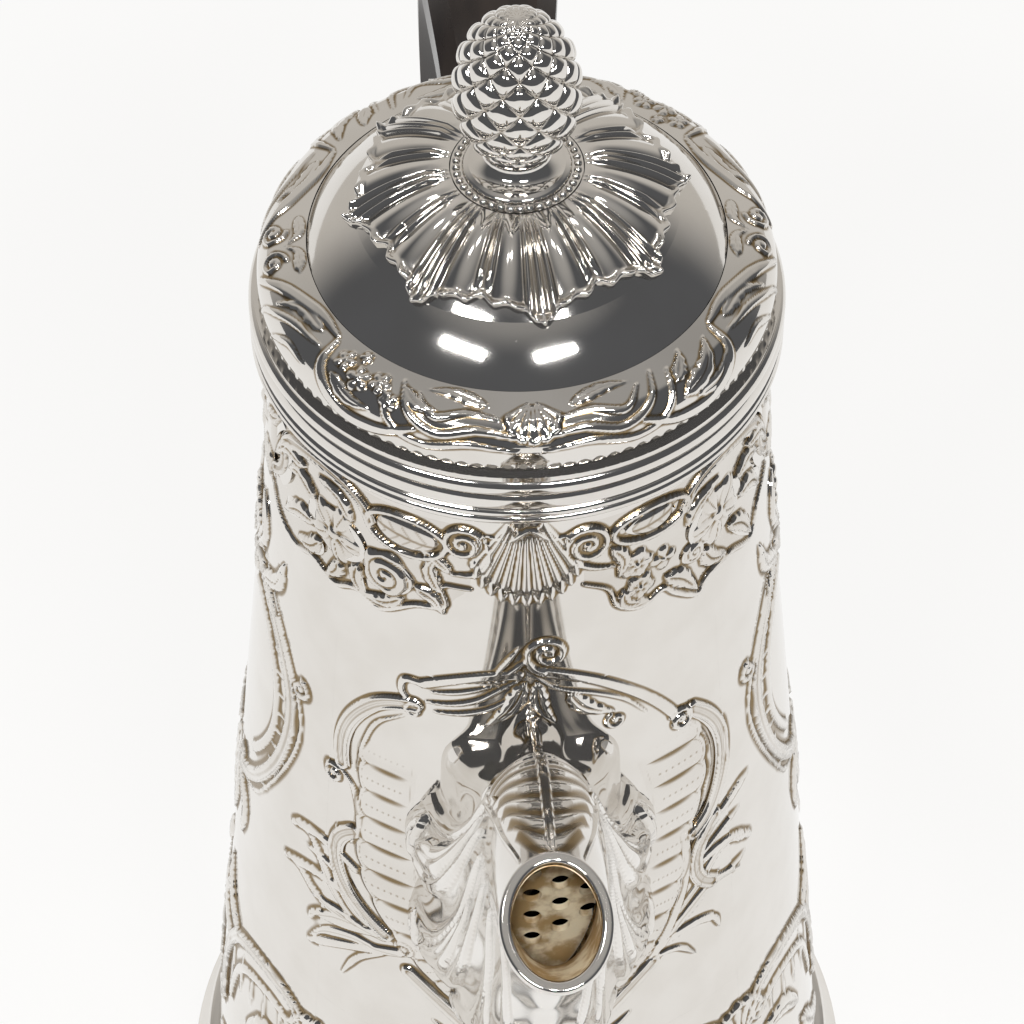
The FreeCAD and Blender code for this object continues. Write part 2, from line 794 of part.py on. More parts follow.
def knuckle_start(index):
    return -hinge_width() / 2 + index * knuckle_pitch()


def knuckle_tube(index, radius, side_gap=0.0):
    start = Vector(knuckle_start(index) - side_gap, hinge_y, hinge_z)
    return Part.makeCylinder(radius, knuckle_length + 2 * side_gap, start, Vector(1, 0, 0))


def hinge_leaf(own, other, low, wall_radius):
    """A leaf that hugs the pot's round edge and carries its own knuckles, cleared for the other leaf's."""
    width = hinge_width()
    reach = hinge_y - lip_moulding_radius / 2
    plate = Part.makeBox(width, reach, leaf_thickness, Vector(-width / 2, hinge_y - reach, low))
    wall_room = Part.makeCylinder(wall_radius + solder_gap, overshoot * 2, Vector(0, 0, low - overshoot))
    plate = plate.cut(wall_room)
    plate = plate.cut([knuckle_tube(i, knuckle_radius + leaf_clearance, hinge_side_gap) for i in other])
    leaf = plate.multiFuse([knuckle_tube(i, knuckle_radius) for i in own])
    bore = cylinder_along_x(hinge_pin_radius + running_gap, width + overshoot, hinge_y, hinge_z)
    return leaf.cut(bore)


def hinge_pin():
    length = hinge_width() + 2 * hinge_side_gap
    shaft = cylinder_along_x(hinge_pin_radius, length, hinge_y, hinge_z)
    heads = []
    for side in (-1, 1):
        start = Vector(side * length / 2, hinge_y, hinge_z)
        heads.append(Part.makeCylinder(hinge_pin_radius * 1.6, hinge_pin_head, start, Vector(side, 0, 0)))
    return shaft.multiFuse(heads)


# Handle


def socket_axis(socket):
    tilt = math.radians(socket["tilt"])
    return Vector(0, math.cos(tilt), math.sin(tilt))


def along_socket(socket, out):
    """A point on a socket's axis, measured out from the body's face."""
    return Vector(0, body_radius_at(socket["z"]), socket["z"]) + socket_axis(socket) * out


def socket_mouth(socket):
    return along_socket(socket, socket["length"])


def socket_pin_place(socket):
    return along_socket(socket, socket["length"] - handle_pin_inset)


def socket_clearing(socket):
    """The room that a socket's root needs on the body's face."""
    radius = socket_root_radius + ornament_clearance
    length = socket_sink + socket["length"]
    return Part.makeCylinder(radius, length, along_socket(socket, -socket_sink), socket_axis(socket))


def turned_on_axis(points, base, direction):
    """A turned solid whose profile heights run along a direction from a base point."""
    solid = turned(points)
    solid.Placement = FreeCAD.Placement(base, FreeCAD.Rotation(Vector(0, 0, 1), direction))
    return solid


def handle_socket(socket):
    """Cast tube that holds the handle's end: a flared root against the body, a waist and a rolled rim."""
    length = socket["length"] + socket_sink
    rim_low = length - socket_rim_width
    rim_step = socket_end_radius - socket_rim_step
    bore = tenon_radius + tenon_gap
    floor = length - tenon_length
    tube = turned_on_axis([
        (0, 0), None,
        (socket_root_radius, 0), (socket_waist_radius + socket_rim_step, length * 0.42),
        (socket_waist_radius, rim_low), None,
        (rim_step, rim_low), (socket_end_radius, length - socket_rim_width / 2),
        (rim_step, length), None,
        (bore, length), None,
        (bore, floor), None,
        (0, floor),
    ], along_socket(socket, -socket_sink), socket_axis(socket))
    pin_at = socket_pin_place(socket)
    hole = cylinder_along_x(handle_pin_radius + running_gap, overshoot * 2, pin_at.y, pin_at.z)
    return tube.cut(body_cone(solder_gap)).cut(hole)


def handle_pin(socket):
    at = socket_pin_place(socket)
    length = 2 * (socket_waist_radius + handle_pin_stand_out)
    return cylinder_along_x(handle_pin_radius, length, at.y, at.z)


def chamfered_section(centre, normal, width, thick):
    """An octagon across the handle, wide along X."""
    side = Vector(1, 0, 0)
    rise = normal.cross(side).normalize()
    half_width, half_thick = width / 2, thick / 2
    flat_width, flat_thick = half_width - handle_chamfer, half_thick - handle_chamfer
    corners = [
        (flat_width, half_thick), (half_width, flat_thick),
        (half_width, -flat_thick), (flat_width, -half_thick),
        (-flat_width, -half_thick), (-half_width, -flat_thick),
        (-half_width, flat_thick), (-flat_width, half_thick),
    ]
    points = [centre + side * x + rise * t for x, t in corners]
    return Part.makePolygon(points + [points[0]])


def handle_sections():
    """Chamfered sections from the upper socket's mouth, round the bow, to the lower socket's mouth."""
    mouth = 2 * socket_end_radius
    places = [socket_mouth(upper_socket)]
    sizes = [(mouth, mouth)]
    for stop in handle_points:
        reach, z = stop["at"]
        places.append(Vector(0, body_radius_at(z) + reach, z))
        sizes.append((stop["width"], stop["thick"]))
    places.append(socket_mouth(lower_socket))
    sizes.append((mouth, mouth))
    path = Part.BSplineCurve()
    path.interpolate(
        Points=places,
        InitialTangent=socket_axis(upper_socket),
        FinalTangent=socket_axis(lower_socket) * -1,
        Scale=True,
    )
    sections = []
    for place, (width, thick) in zip(places, sizes):
        tangent = path.tangent(path.parameter(place))[0]
        sections.append(chamfered_section(place, tangent, width, thick))
    return sections


def handle_tenon(socket):
    depth = tenon_length - tenon_gap
    return Part.makeCylinder(tenon_radius, depth, socket_mouth(socket), socket_axis(socket) * -1)


def handle_grip():
    """Wooden handle: a chamfered bow with a round tenon in each socket."""
    bow = Part.makeLoft(handle_sections(), True)
    sockets = (upper_socket, lower_socket)
    grip = bow.multiFuse([handle_tenon(socket) for socket in sockets])
    for socket in sockets:
        at = socket_pin_place(socket)
        grip = grip.cut(cylinder_along_x(handle_pin_radius + running_gap, overshoot * 2, at.y, at.z))
    return grip


def main():
    export(body_wall(), "body_wall")
    export(base_plate(), "base_plate")
    export(foot_ring(), "foot_ring")
    export(lip_moulding(), "lip_moulding")
    half = spout_right_half()
    export(half, "spout_right_half")
    export(half.mirror(Vector(0, 0, 0), Vector(1, 0, 0)), "spout_left_half")
    export(spout_lip(), "spout_lip")
    export(lid_dome(), "lid_dome")
    export(lid_flange(), "lid_flange")
    export(lid_bezel(), "lid_bezel")
    export(lid_calyx(), "lid_calyx")
    export(bead_collar(), "bead_collar")
    export(finial_foot(), "finial_foot")
    export(finial_cone(), "finial_cone")
    export(finial_stud(), "finial_stud")
    export(finial_washer(), "finial_washer")
    export(finial_nut(), "finial_nut")
    body_knuckles = range(0, knuckle_count, 2)
    lid_knuckles = range(1, knuckle_count, 2)
    body_leaf_low = hinge_z - leaf_clearance - leaf_thickness
    lid_leaf_low = hinge_z + leaf_clearance
    export(hinge_leaf(body_knuckles, lid_knuckles, body_leaf_low, lip_moulding_radius), "hinge_body_leaf")
    export(hinge_leaf(lid_knuckles, body_knuckles, lid_leaf_low, lip_moulding_radius), "hinge_lid_leaf")
    export(hinge_pin(), "hinge_pin")
    export(handle_socket(upper_socket), "upper_socket")
    export(handle_socket(lower_socket), "lower_socket")
    export(handle_grip(), "handle_grip")
    export(handle_pin(upper_socket), "upper_handle_pin")
    export(handle_pin(lower_socket), "lower_handle_pin")


main()
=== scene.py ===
import math

import bpy
import numpy as np
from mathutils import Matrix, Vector


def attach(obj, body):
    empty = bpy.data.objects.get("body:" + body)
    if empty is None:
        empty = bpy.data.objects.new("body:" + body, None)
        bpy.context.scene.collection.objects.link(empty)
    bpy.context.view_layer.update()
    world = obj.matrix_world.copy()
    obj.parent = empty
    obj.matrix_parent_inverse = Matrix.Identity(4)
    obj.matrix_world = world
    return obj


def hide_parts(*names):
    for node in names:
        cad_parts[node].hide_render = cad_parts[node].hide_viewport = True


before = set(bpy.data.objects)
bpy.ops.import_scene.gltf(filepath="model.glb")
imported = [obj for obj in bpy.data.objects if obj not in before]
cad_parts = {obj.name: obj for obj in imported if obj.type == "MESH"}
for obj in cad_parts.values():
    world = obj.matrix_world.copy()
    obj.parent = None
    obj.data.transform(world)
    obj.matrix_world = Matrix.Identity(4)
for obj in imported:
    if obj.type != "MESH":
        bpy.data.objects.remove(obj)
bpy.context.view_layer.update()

MM = 0.001


# Materials

BRIGHT_SILVER = (0.76, 0.735, 0.70, 1)
DULL_SILVER = (0.72, 0.692, 0.652, 1)
CLEAN_WALL = (0.75, 0.725, 0.69, 1)
# Tarnish in the chased hollows; also the colour of a painted shade line just outside the fluted ring's rim.
TARNISH_AND_SHADE = (0.25, 0.18, 0.095, 1)
COFFEE_FILM = (0.47, 0.31, 0.14, 1)
PALE_BLOT = (0.95, 0.82, 0.58, 1)
DARK_GRAIN = (0.011, 0.007, 0.006, 1)
LIGHT_GRAIN = (0.026, 0.017, 0.013, 1)
FLOOR_PAINT = (0.95, 0.945, 0.935, 1)
FLOOR_WHITE = (1.0, 0.995, 0.985, 1)
DIM_ROOM = (0.105, 0.108, 0.115, 1)
CEILING = (0.42, 0.41, 0.395, 1)
PALE_WALL = (0.62, 0.595, 0.56, 1)


class Sock:
    """A node socket that takes arithmetic, so that a formula reads as one line."""

    def __init__(self, tree, socket):
        self.tree = tree
        self.socket = socket

    def node(self, kind, inputs=None, output=0, **settings):
        made = self.tree.nodes.new(kind)
        for name, value in settings.items():
            setattr(made, name, value)
        for key, value in (inputs or {}).items():
            feed(self.tree, value, made.inputs[key])
        return Sock(self.tree, made.outputs[output])

    def math(self, operation, *values):
        return self.node("ShaderNodeMath", dict(enumerate(values)), operation=operation)

    def __add__(self, other):
        return self.math("ADD", self, other)

    def __radd__(self, other):
        return self.math("ADD", other, self)

    def __sub__(self, other):
        return self.math("SUBTRACT", self, other)

    def __rsub__(self, other):
        return self.math("SUBTRACT", other, self)

    def __mul__(self, other):
        return self.math("MULTIPLY", self, other)

    def __rmul__(self, other):
        return self.math("MULTIPLY", other, self)

    def smooth(self, low, high):
        return self.node(
            "ShaderNodeMapRange", {0: self, 1: low, 2: high}, interpolation_type="SMOOTHSTEP", clamp=True
        )

    def most(self, other):
        return self.math("MAXIMUM", self, other)

    def mix(self, first, second):
        """The first colour where this value is 0, and the second where it is 1."""
        return self.node("ShaderNodeMix", {0: self, 6: first, 7: second}, output=2, data_type="RGBA")


def feed(tree, value, socket):
    if isinstance(value, Sock):
        tree.links.new(value.socket, socket)
    else:
        socket.default_value = value


def new_material(name):
    made = bpy.data.materials.new(name)
    made.use_nodes = True
    tree = made.node_tree
    shader = tree.nodes["Principled BSDF"]
    return made, tree, shader


def object_place(tree):
    return Sock(tree, tree.nodes.new("ShaderNodeTexCoord").outputs["Object"])


def silver_material(name, tarnish):
    """Polished silver. Where a piece carries a recess value, the recess is darker, warmer and duller: mostly
    tarnish in the chased hollows, and painted shade just outside the rim of the fluted ring.
    """
    made, tree, shader = new_material(name)
    place = object_place(tree)
    shader.inputs["Metallic"].default_value = 1.0
    cloud = place.node("ShaderNodeTexNoise", {"Vector": place, "Scale": 90.0, "Detail": 3.0})
    wear = cloud.smooth(0.3, 0.75)
    base = wear.mix(BRIGHT_SILVER, DULL_SILVER)
    rough = wear * 0.03 + 0.055
    if tarnish:
        recess = place.node("ShaderNodeAttribute", attribute_name="recess", output=2)
        stain_and_shade = (recess * (cloud * 0.5 + 0.75)).smooth(0.12, 1.0)
        base = stain_and_shade.mix(base, TARNISH_AND_SHADE)
        rough = rough + stain_and_shade * 0.22
    feed(tree, base, shader.inputs["Base Color"])
    feed(tree, rough, shader.inputs["Roughness"])
    return made


def stained_material(name, patch=None):
    """Coffee-stained silver: a dull brown film with paler blots, all over or in an oval at the front."""
    made, tree, shader = new_material(name)
    place = object_place(tree)
    cloud = place.node("ShaderNodeTexNoise", {"Vector": place, "Scale": 210.0, "Detail": 5.0})
    blot = cloud.smooth(0.42, 0.62)
    film = blot.mix(COFFEE_FILM, PALE_BLOT)
    if patch:
        x, y, z = (place.node("ShaderNodeSeparateXYZ", {0: place}, output=k) for k in range(3))
        width, height, middle = (size * MM for size in patch)
        flat_x, flat_z = x * (1 / width), (z - middle) * (1 / height)
        outside = (flat_x * flat_x + flat_z * flat_z).smooth(0.95, 1.05)
        clean = outside.most(y.smooth(-MM, MM))
        film = clean.mix(film, CLEAN_WALL)
        feed(tree, clean * 0.85 + 0.15, shader.inputs["Metallic"])
        feed(tree, clean * -0.5 + 0.57, shader.inputs["Roughness"])
    else:
        shader.inputs["Metallic"].default_value = 0.15
        feed(tree, blot * -0.2 + 0.65, shader.inputs["Roughness"])
    feed(tree, film, shader.inputs["Base Color"])
    return made


def wood_material():
    made, tree, shader = new_material("handle_wood")
    place = object_place(tree)
    stretched = place.node(
        "ShaderNodeMapping", {"Vector": place, "Scale": (240.0, 60.0, 14.0)}, vector_type="POINT"
    )
    grain = place.node("ShaderNodeTexNoise", {"Vector": stretched, "Scale": 1.0, "Detail": 4.0})
    tone = grain.smooth(0.3, 0.72)
    feed(tree, tone.mix(DARK_GRAIN, LIGHT_GRAIN), shader.inputs["Base Color"])
    feed(tree, tone * 0.1 + 0.24, shader.inputs["Roughness"])
    return made


SILVER = silver_material("silver", False)
CHASED = silver_material("chased_silver", True)
WOOD = wood_material()


def paint(obj, material):
    obj.data.materials.clear()
    obj.data.materials.append(material)
    for polygon in obj.data.polygons:
        polygon.material_index = 0


for name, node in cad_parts.items():
    paint(node, WOOD if name == "handle_grip" else SILVER)


# Relief, in millimetres. A skin lies just off the solid and covers the solid's raised pads with flat beds.

BASE_Z, NECK_Z = 12.0, 210.0
BASE_R, NECK_R = 57.5, 37.2
SKIN = 0.12
BED = 0.48
EDGE = 0.36
PAD_MARGIN = 0.5
PAD_REACH = 0.6
BAND_HALF, FROND_HALF, LEAF_HALF = 1.0, 0.5, 1.2
STRAIGHT = 1e-6
LINE_STEPS, SPLINE_STEPS, ARC_STEPS, SPIRAL_STEPS = 12, 16, 24, 22
BEADS_PER_LOBE = 9
MERGE_DISTANCE = 1e-6
# Half width, half height and middle of the pierced oval behind the spout
STRAINER = (11, 25, 126)


def spline(a, b, c, d, t):
    """The place at a share t of the way from b to c, on a smooth curve through four points."""
    return 0.5 * (2 * b + (c - a) * t + (2 * a - 5 * b + 4 * c - d) * t ** 2
                  + (3 * b - a - 3 * c + d) * t ** 3)


def run_on(points):
    """The points with one more at each end, straight on."""
    return np.vstack([2 * points[0] - points[1], points, 2 * points[-1] - points[-2]])


def run_length(points):
    """The distance along a line up to each of its points."""
    return np.concatenate([[0], np.cumsum(np.hypot(*np.diff(points, axis=0).T))])


def smooth_path(points, spacing=0.6):
    """A smooth curve through given points, in even short steps."""
    p = np.array(points, float)
    if len(p) == 2:
        dense = p[0] + (p[1] - p[0]) * np.linspace(0, 1, LINE_STEPS)[:, None]
    else:
        long = run_on(p)
        t = np.linspace(0, 1, SPLINE_STEPS, endpoint=False)[:, None]
        parts = [spline(*four, t) for four in zip(long, long[1:], long[2:], long[3:])]
        dense = np.vstack(parts + [p[-1:]])
    run = run_length(dense)
    even = np.linspace(0, run[-1], max(4, int(run[-1] / spacing)))
    return np.stack([np.interp(even, run, dense[:, k]) for k in (0, 1)], 1)


def spiral(centre, radius, start, turns):
    """Points of a volute that winds in from its outside; negative turns wind the other way."""
    share = np.linspace(0, 1, SPIRAL_STEPS)
    angle = math.radians(start) + 2 * math.pi * turns * share
    size = radius * (1 - 0.82 * share)
    return [(centre[0] + q * math.cos(a), centre[1] + q * math.sin(a)) for q, a in zip(size, angle)]


def body_radius(z):
    """The radius of the solid's tapering wall at a height."""
    return BASE_R + (NECK_R - BASE_R) * (z - BASE_Z) / (NECK_Z - BASE_Z)


def arc_path(points):
    """The line of one of the solid's raised bands: arcs through the points, each going on from the last."""
    p = np.array(points, float)
    radius = body_radius(p[:, 1])
    flat = radius * np.sin(p[:, 0] / radius) + 1j * p[:, 1]
    chords = np.angle(np.diff(flat))
    way = chords[0] - np.angle(np.exp(1j * (chords[1] - chords[0]))) / 2
    line = []
    for start, end, chord in zip(flat, flat[1:], chords):
        turn = 2 * np.angle(np.exp(1j * (chord - way)))
        share = np.linspace(0, 1, ARC_STEPS)
        swing = share if abs(turn) < STRAIGHT else (np.exp(1j * turn * share) - 1) / (1j * turn)
        bend = np.exp(1j * (chord - turn / 2)) * swing
        line += list(start + bend * abs(end - start) / abs(bend[-1]))
        way += turn
    line = np.array(line)
    radius = body_radius(line.imag)
    return np.stack([radius * np.arcsin(np.clip(line.real / radius, -1, 1)), line.imag], 1)


def halves():
    """The two sides of a symmetric motif: a sign, and a function that lays a path on that side."""
    for sign in (-1, 1):
        yield sign, lambda *points, sign=sign: [(sign * x, z) for x, z in points]


def turned(radius, angle, z):
    """A place by its radius, angle and height; angle 0 is at the spout."""
    return radius * np.sin(angle), -radius * np.cos(angle), z


def eased(share):
    """A soft step from 0 to 1."""
    share = np.clip(share, 0, 1)
    return share * share * (3 - 2 * share)


class Relief:
    """A height field in millimetres over a surface that is laid out flat, built up by raised strokes."""

    def __init__(self, across, up):
        self.across = across
        self.up = up
        self.height = np.zeros_like(up)
        # Stain in the hollows and, in places, painted shade, from 0 to 1.
        self.stain_and_shade = np.zeros_like(up)

    def window(self, low, high):
        inside = (self.across > low[0]) & (self.across < high[0]) & (self.up > low[1]) & (self.up < high[1])
        return np.nonzero(inside)

    def around(self, centre, reach, stretch=1.0):
        """The places in a box round a centre, with their offsets from it."""
        x, y = centre
        where = self.window((x - reach * stretch, y - reach), (x + reach * stretch, y + reach))
        return where, self.across[where] - x, self.up[where] - y

    def raise_to(self, where, height):
        self.height[where] = np.maximum(self.height[where], height)

    def near(self, path, reach):
        """The places within reach of a path, with their distance from it and their share of its length."""
        where = self.window(path.min(0) - reach, path.max(0) + reach)
        x, y = self.across[where], self.up[where]
        gap = np.full(x.shape, 1e9)
        share = np.zeros(x.shape)
        for k in range(len(path) - 1 if len(x) else 0):
            (ax, ay), (bx, by) = path[k], path[k + 1]
            dx, dy = bx - ax, by - ay
            along = np.clip(((x - ax) * dx + (y - ay) * dy) / max(dx * dx + dy * dy, 1e-9), 0, 1)
            here = np.hypot(x - ax - along * dx, y - ay - along * dy)
            nearer = here < gap
            gap[nearer] = here[nearer]
            share[nearer] = ((k + along) / (len(path) - 1))[nearer]
        return where, gap, share

    def stroke(self, points, width=0.7, height=0.55, taper=(0.35, 0.35), power=4.0):
        """A flat-topped ridge along a path, thinner towards its ends; a lower power rounds it."""
        where, gap, share = self.near(smooth_path(points), width)
        size = np.minimum(taper[0] + (1 - taper[0]) * np.clip(share / 0.35, 0, 1),
                          taper[1] + (1 - taper[1]) * np.clip((1 - share) / 0.35, 0, 1))
        bump = eased((1 - gap / (width * size)) * power / 2)
        self.raise_to(where, height * (0.5 + 0.5 * size) * bump)

    def band(self, points, height=0.85, half_width=BAND_HALF):
        """A flat scroll with a rim along each edge, over the solid's own raised band."""
        where, gap, _ = self.near(arc_path(points), half_width + PAD_REACH)
        inside = eased((half_width + PAD_MARGIN - gap) / EDGE)
        rim = np.exp(-((gap - half_width) / 0.25) ** 2)
        self.raise_to(where, inside * (BED + (height - BED) * rim))
        self.stain_and_shade[where] = np.maximum(self.stain_and_shade[where], 0.5 * np.exp(-(gap / 0.16) ** 2))

    def frond(self, points):
        """A flat stem, over the solid's own raised band."""
        where, gap, _ = self.near(arc_path(points), FROND_HALF + PAD_REACH)
        self.raise_to(where, BED * 1.05 * eased((FROND_HALF + PAD_MARGIN - gap) / EDGE))

    def flutes(self, inner, outer, pitch, depth=0.42, foot=108.0, foot_run=75.0):
        """A ring round an upright oval: shallow beaded lobes with stained grooves between them, and painted
        shade in a dark line just outside the scalloped rim.
        """
        def laid_out(x, z):
            above = z > foot
            turn = np.arctan2(np.minimum(z - foot, 0), x) / math.pi
            side = np.where(x < 0, foot - z, foot_run + z - foot)
            run = np.where(above, side, foot_run * (1 + turn))
            return run, np.where(above, np.abs(x), np.hypot(x, z - foot))
        lines = [laid_out(*smooth_path(line).T) for line in (inner, outer)]
        run, gap = laid_out(self.across, self.up)
        low, high = (np.interp(run, *line) for line in lines)
        ends = [max(line[0][0] for line in lines), min(line[0][-1] for line in lines)]
        reach = (gap - low) / (high - low)
        inside = (reach > -0.1) & (reach < 1.1) & (run > ends[0]) & (run < ends[1])
        groove = np.abs((run / pitch + 0.5) % 1 - 0.5)
        lobe = np.clip(np.sin(math.pi * (run / pitch % 1)), 0, 1) ** 0.5
        edge = 0.9 + 0.09 * lobe
        shape = np.clip((edge - reach) / 0.04, 0, 1) * np.clip(reach / 0.12, 0, 1) * depth * lobe
        row = np.exp(-((groove - 0.5) / 0.05) ** 2) * (reach > 0.15) * (reach < 0.85)
        step = np.cos(reach * 2 * math.pi * BEADS_PER_LOBE)
        bead = np.clip(step, 0, 1) * row * 0.22
        rim = np.exp(-((reach - edge) / 0.05) ** 2) * 0.42
        fade = np.clip((run - ends[0]) / 4, 0, 1) * np.clip((ends[1] - run) / 4, 0, 1)
        self.height = np.maximum(self.height, np.where(inside, np.maximum(shape + bead, rim) * fade, 0))
        groove_tarnish_and_rim_shade = np.exp(-(groove / 0.12) ** 2) * np.sin(math.pi * np.clip((reach - 0.05) / 0.8, 0, 1)) ** 0.6
        groove_tarnish_and_rim_shade = np.maximum(groove_tarnish_and_rim_shade, 0.8 * np.clip(-step, 0, 1) * row)
        # Painted shade: a dark line just outside the scalloped rim, so that the rim shows.
        groove_tarnish_and_rim_shade = np.maximum(groove_tarnish_and_rim_shade, 0.7 * np.exp(-((reach - edge - 0.08) / 0.04) ** 2))
        self.stain_and_shade = np.maximum(self.stain_and_shade, np.where(inside, np.maximum(groove_tarnish_and_rim_shade, 0.22) * fade, 0))

    def tint(self, points, width, amount):
        """A stained line along a path, without any rise."""
        where, gap, _ = self.near(smooth_path(points), width)
        self.stain_and_shade[where] = np.maximum(self.stain_and_shade[where], amount * np.clip(1 - (gap / width) ** 2, 0, 1))

    def wash(self, outline, top, amount):
        """A faint darker, warmer tint from an outline, which runs from left to right, up to a height."""
        line = np.array(sorted(outline), float)
        low = np.interp(self.across, line[:, 0], line[:, 1])
        inside = (self.up > low) & (self.up < top) & (self.across > line[0, 0]) & (self.across < line[-1, 0])
        self.stain_and_shade = np.maximum(self.stain_and_shade, amount * inside)

    def volute(self, centre, radius, start, turns, width=0.6, height=0.7):
        """A spiral ridge with a raised eye."""
        self.stroke(spiral(centre, radius, start, turns), width, height, (0.9, 0.9))
        self.dome(centre, width * 1.3, height)

    def disc(self, centre, radius):
        """A flat rise, over the solid's own raised disc."""
        where, x, y = self.around(centre, radius + PAD_REACH)
        self.raise_to(where, BED * eased((radius + PAD_MARGIN - np.hypot(x, y)) / EDGE))

    def dome(self, centre, radius, height, stretch=1.0, flat=1.0):
        """A rounded boss, wider than tall where it is stretched."""
        where, x, y = self.around(centre, radius, stretch)
        gap = np.hypot(x / stretch, y) / radius
        self.raise_to(where, height * np.clip(1 - gap ** (2 * flat), 0, 1) ** 0.6)

    def flower(self, centre, radius, petals=5, height=1.0, turn=0.0):
        """Separate rounded petals with a vein, round a raised eye."""
        where, x, y = self.around(centre, radius)
        gap = np.hypot(x, y) / radius
        angle = np.arctan2(y, x) * petals + turn
        lobe = 0.5 + 0.5 * np.cos(angle)
        edge = 0.66 + 0.34 * lobe ** 0.6
        rise = np.clip(1 - (gap / edge) ** 4, 0, 1) * (0.35 + 0.65 * lobe ** 0.5) * (0.55 + 0.45 * gap)
        vein = 0.18 * np.exp(-((1 - lobe) / 0.02)) * (gap > 0.3)
        self.raise_to(where, height * np.clip(rise - vein, 0, 1))
        self.dome(centre, radius * 0.24, height * 0.95)

    def rose(self, centre, radius, height=1.1):
        """Petals wound round one another."""
        where, x, y = self.around(centre, radius)
        gap = np.hypot(x, y) / radius
        wind = np.mod(np.arctan2(y, x) / (2 * math.pi) + gap * 2.6, 1.0)
        wave = 0.55 + 0.45 * np.sin(math.pi * wind) ** 0.7
        rim = 0.93 + 0.07 * np.cos(5 * np.arctan2(y, x))
        self.raise_to(where, height * wave * np.clip(1 - (gap / rim) ** 5, 0, 1))

    def leaf(self, points, width=1.6, height=0.75, teeth=5, bed=0.0):
        """A pointed leaf along a path, widest a third of the way, with a sunk midrib and notched sides."""
        where, gap, share = self.near(smooth_path(points), width)
        outline = np.sin(math.pi * np.clip(share, 0.02, 0.98) ** 0.62) * width
        outline *= 0.8 + 0.2 * np.abs(np.sin(math.pi * teeth * share))
        ratio = gap / np.maximum(outline, 1e-3)
        bump = np.clip(1 - ratio ** 3, 0, 1) ** 0.6 - 0.35 * np.exp(-(gap / 0.25) ** 2) * (ratio < 1)
        self.raise_to(where, height * np.clip(bump, 0, 1))
        if bed:
            lens = 4 * bed * share * (1 - share) + PAD_MARGIN
            self.raise_to(where, BED * eased((lens - gap) / EDGE))

    def fan(self, apex, reach, spread, ribs, height, inner=0.25, tilt=-90.0):
        """A shell: ribs that spread from an apex to a scalloped edge."""
        where, x, y = self.around(apex, reach)
        angle = np.degrees(np.arctan2(y, x)) - tilt
        angle = (angle + 180) % 360 - 180
        across = angle / spread
        rib = np.abs(np.cos(math.pi * ribs * across / 2))
        edge = reach * (1 - 0.28 * across ** 2) * (0.93 + 0.07 * rib)
        gap = np.hypot(x, y) / edge
        inside = (np.abs(across) < 1) & (gap < 1) & (gap > inner)
        roll = np.exp(-((gap - 0.94) / 0.05) ** 2) * 0.5
        side = np.clip((1 - np.abs(across)) / 0.12, 0, 1)
        bump = (0.3 + 0.5 * rib * np.clip((gap - inner) / 0.2, 0, 1) + roll) * side
        self.raise_to(where, np.where(inside, height * bump, 0))

    def dots(self, points, pitch=1.0, radius=0.34, height=0.22):
        """A row of small bosses along a path."""
        for centre in smooth_path(points, pitch):
            self.dome(centre, radius, height)

    def recess(self):
        """How far each place lies below its near surroundings, or is given a stain or painted shade, from 0
        to 1.
        """
        def blurred(field, reach):
            for axis in (0, 1):
                count = field.shape[axis]
                padded = np.pad(field, [(reach, reach) if k == axis else (0, 0) for k in (0, 1)], mode="edge")
                steps = [np.take(padded, range(k, k + count), axis) for k in range(2 * reach + 1)]
                field = sum(steps) / len(steps)
            return field
        wide = blurred(blurred(self.height, 1), 2)
        sunk = np.clip((wide - self.height) / 0.11, 0, 1) * np.clip(wide / 0.05, 0, 1)
        return np.maximum(sunk, self.stain_and_shade)


def sheet(name, count_across, count_up, place, closed=False):
    """A fine grid laid on a surface: place() takes shares of 0 to 1 and gives millimetres and the recess."""
    bpy.ops.object.select_all(action="DESELECT")
    bpy.ops.mesh.primitive_grid_add(x_subdivisions=count_across - 1, y_subdivisions=count_up - 1, size=2.0)
    obj = bpy.context.object
    obj.name = name
    mesh = obj.data
    flat = np.zeros(len(mesh.vertices) * 3)
    mesh.vertices.foreach_get("co", flat)
    flat = flat.reshape(-1, 3)
    across = ((flat[:, 0] + 1) / 2).reshape(count_up, count_across)
    up = ((flat[:, 1] + 1) / 2).reshape(count_up, count_across)
    points, sunk = place(across, up)
    mesh.vertices.foreach_set("co", (np.stack([q.ravel() for q in points], 1) * MM).ravel())
    stain_and_shade = mesh.attributes.new("recess", "FLOAT", "POINT")
    stain_and_shade.data.foreach_set("value", np.ascontiguousarray(sunk.ravel()))
    for layer in list(mesh.uv_layers):
        mesh.uv_layers.remove(layer)
    if closed:
        bpy.ops.object.mode_set(mode="EDIT")
        bpy.ops.mesh.select_all(action="SELECT")
        bpy.ops.mesh.remove_doubles(threshold=MERGE_DISTANCE)
        bpy.ops.object.mode_set(mode="OBJECT")
    bpy.ops.object.shade_smooth()
    paint(obj, CHASED)
    return obj


def mount(obj, body, *nodes):
    """Let a skin ride on its body, in place of the nodes that it hides."""
    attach(obj, body)
    for node in nodes:
        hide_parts(node)


# Body skin


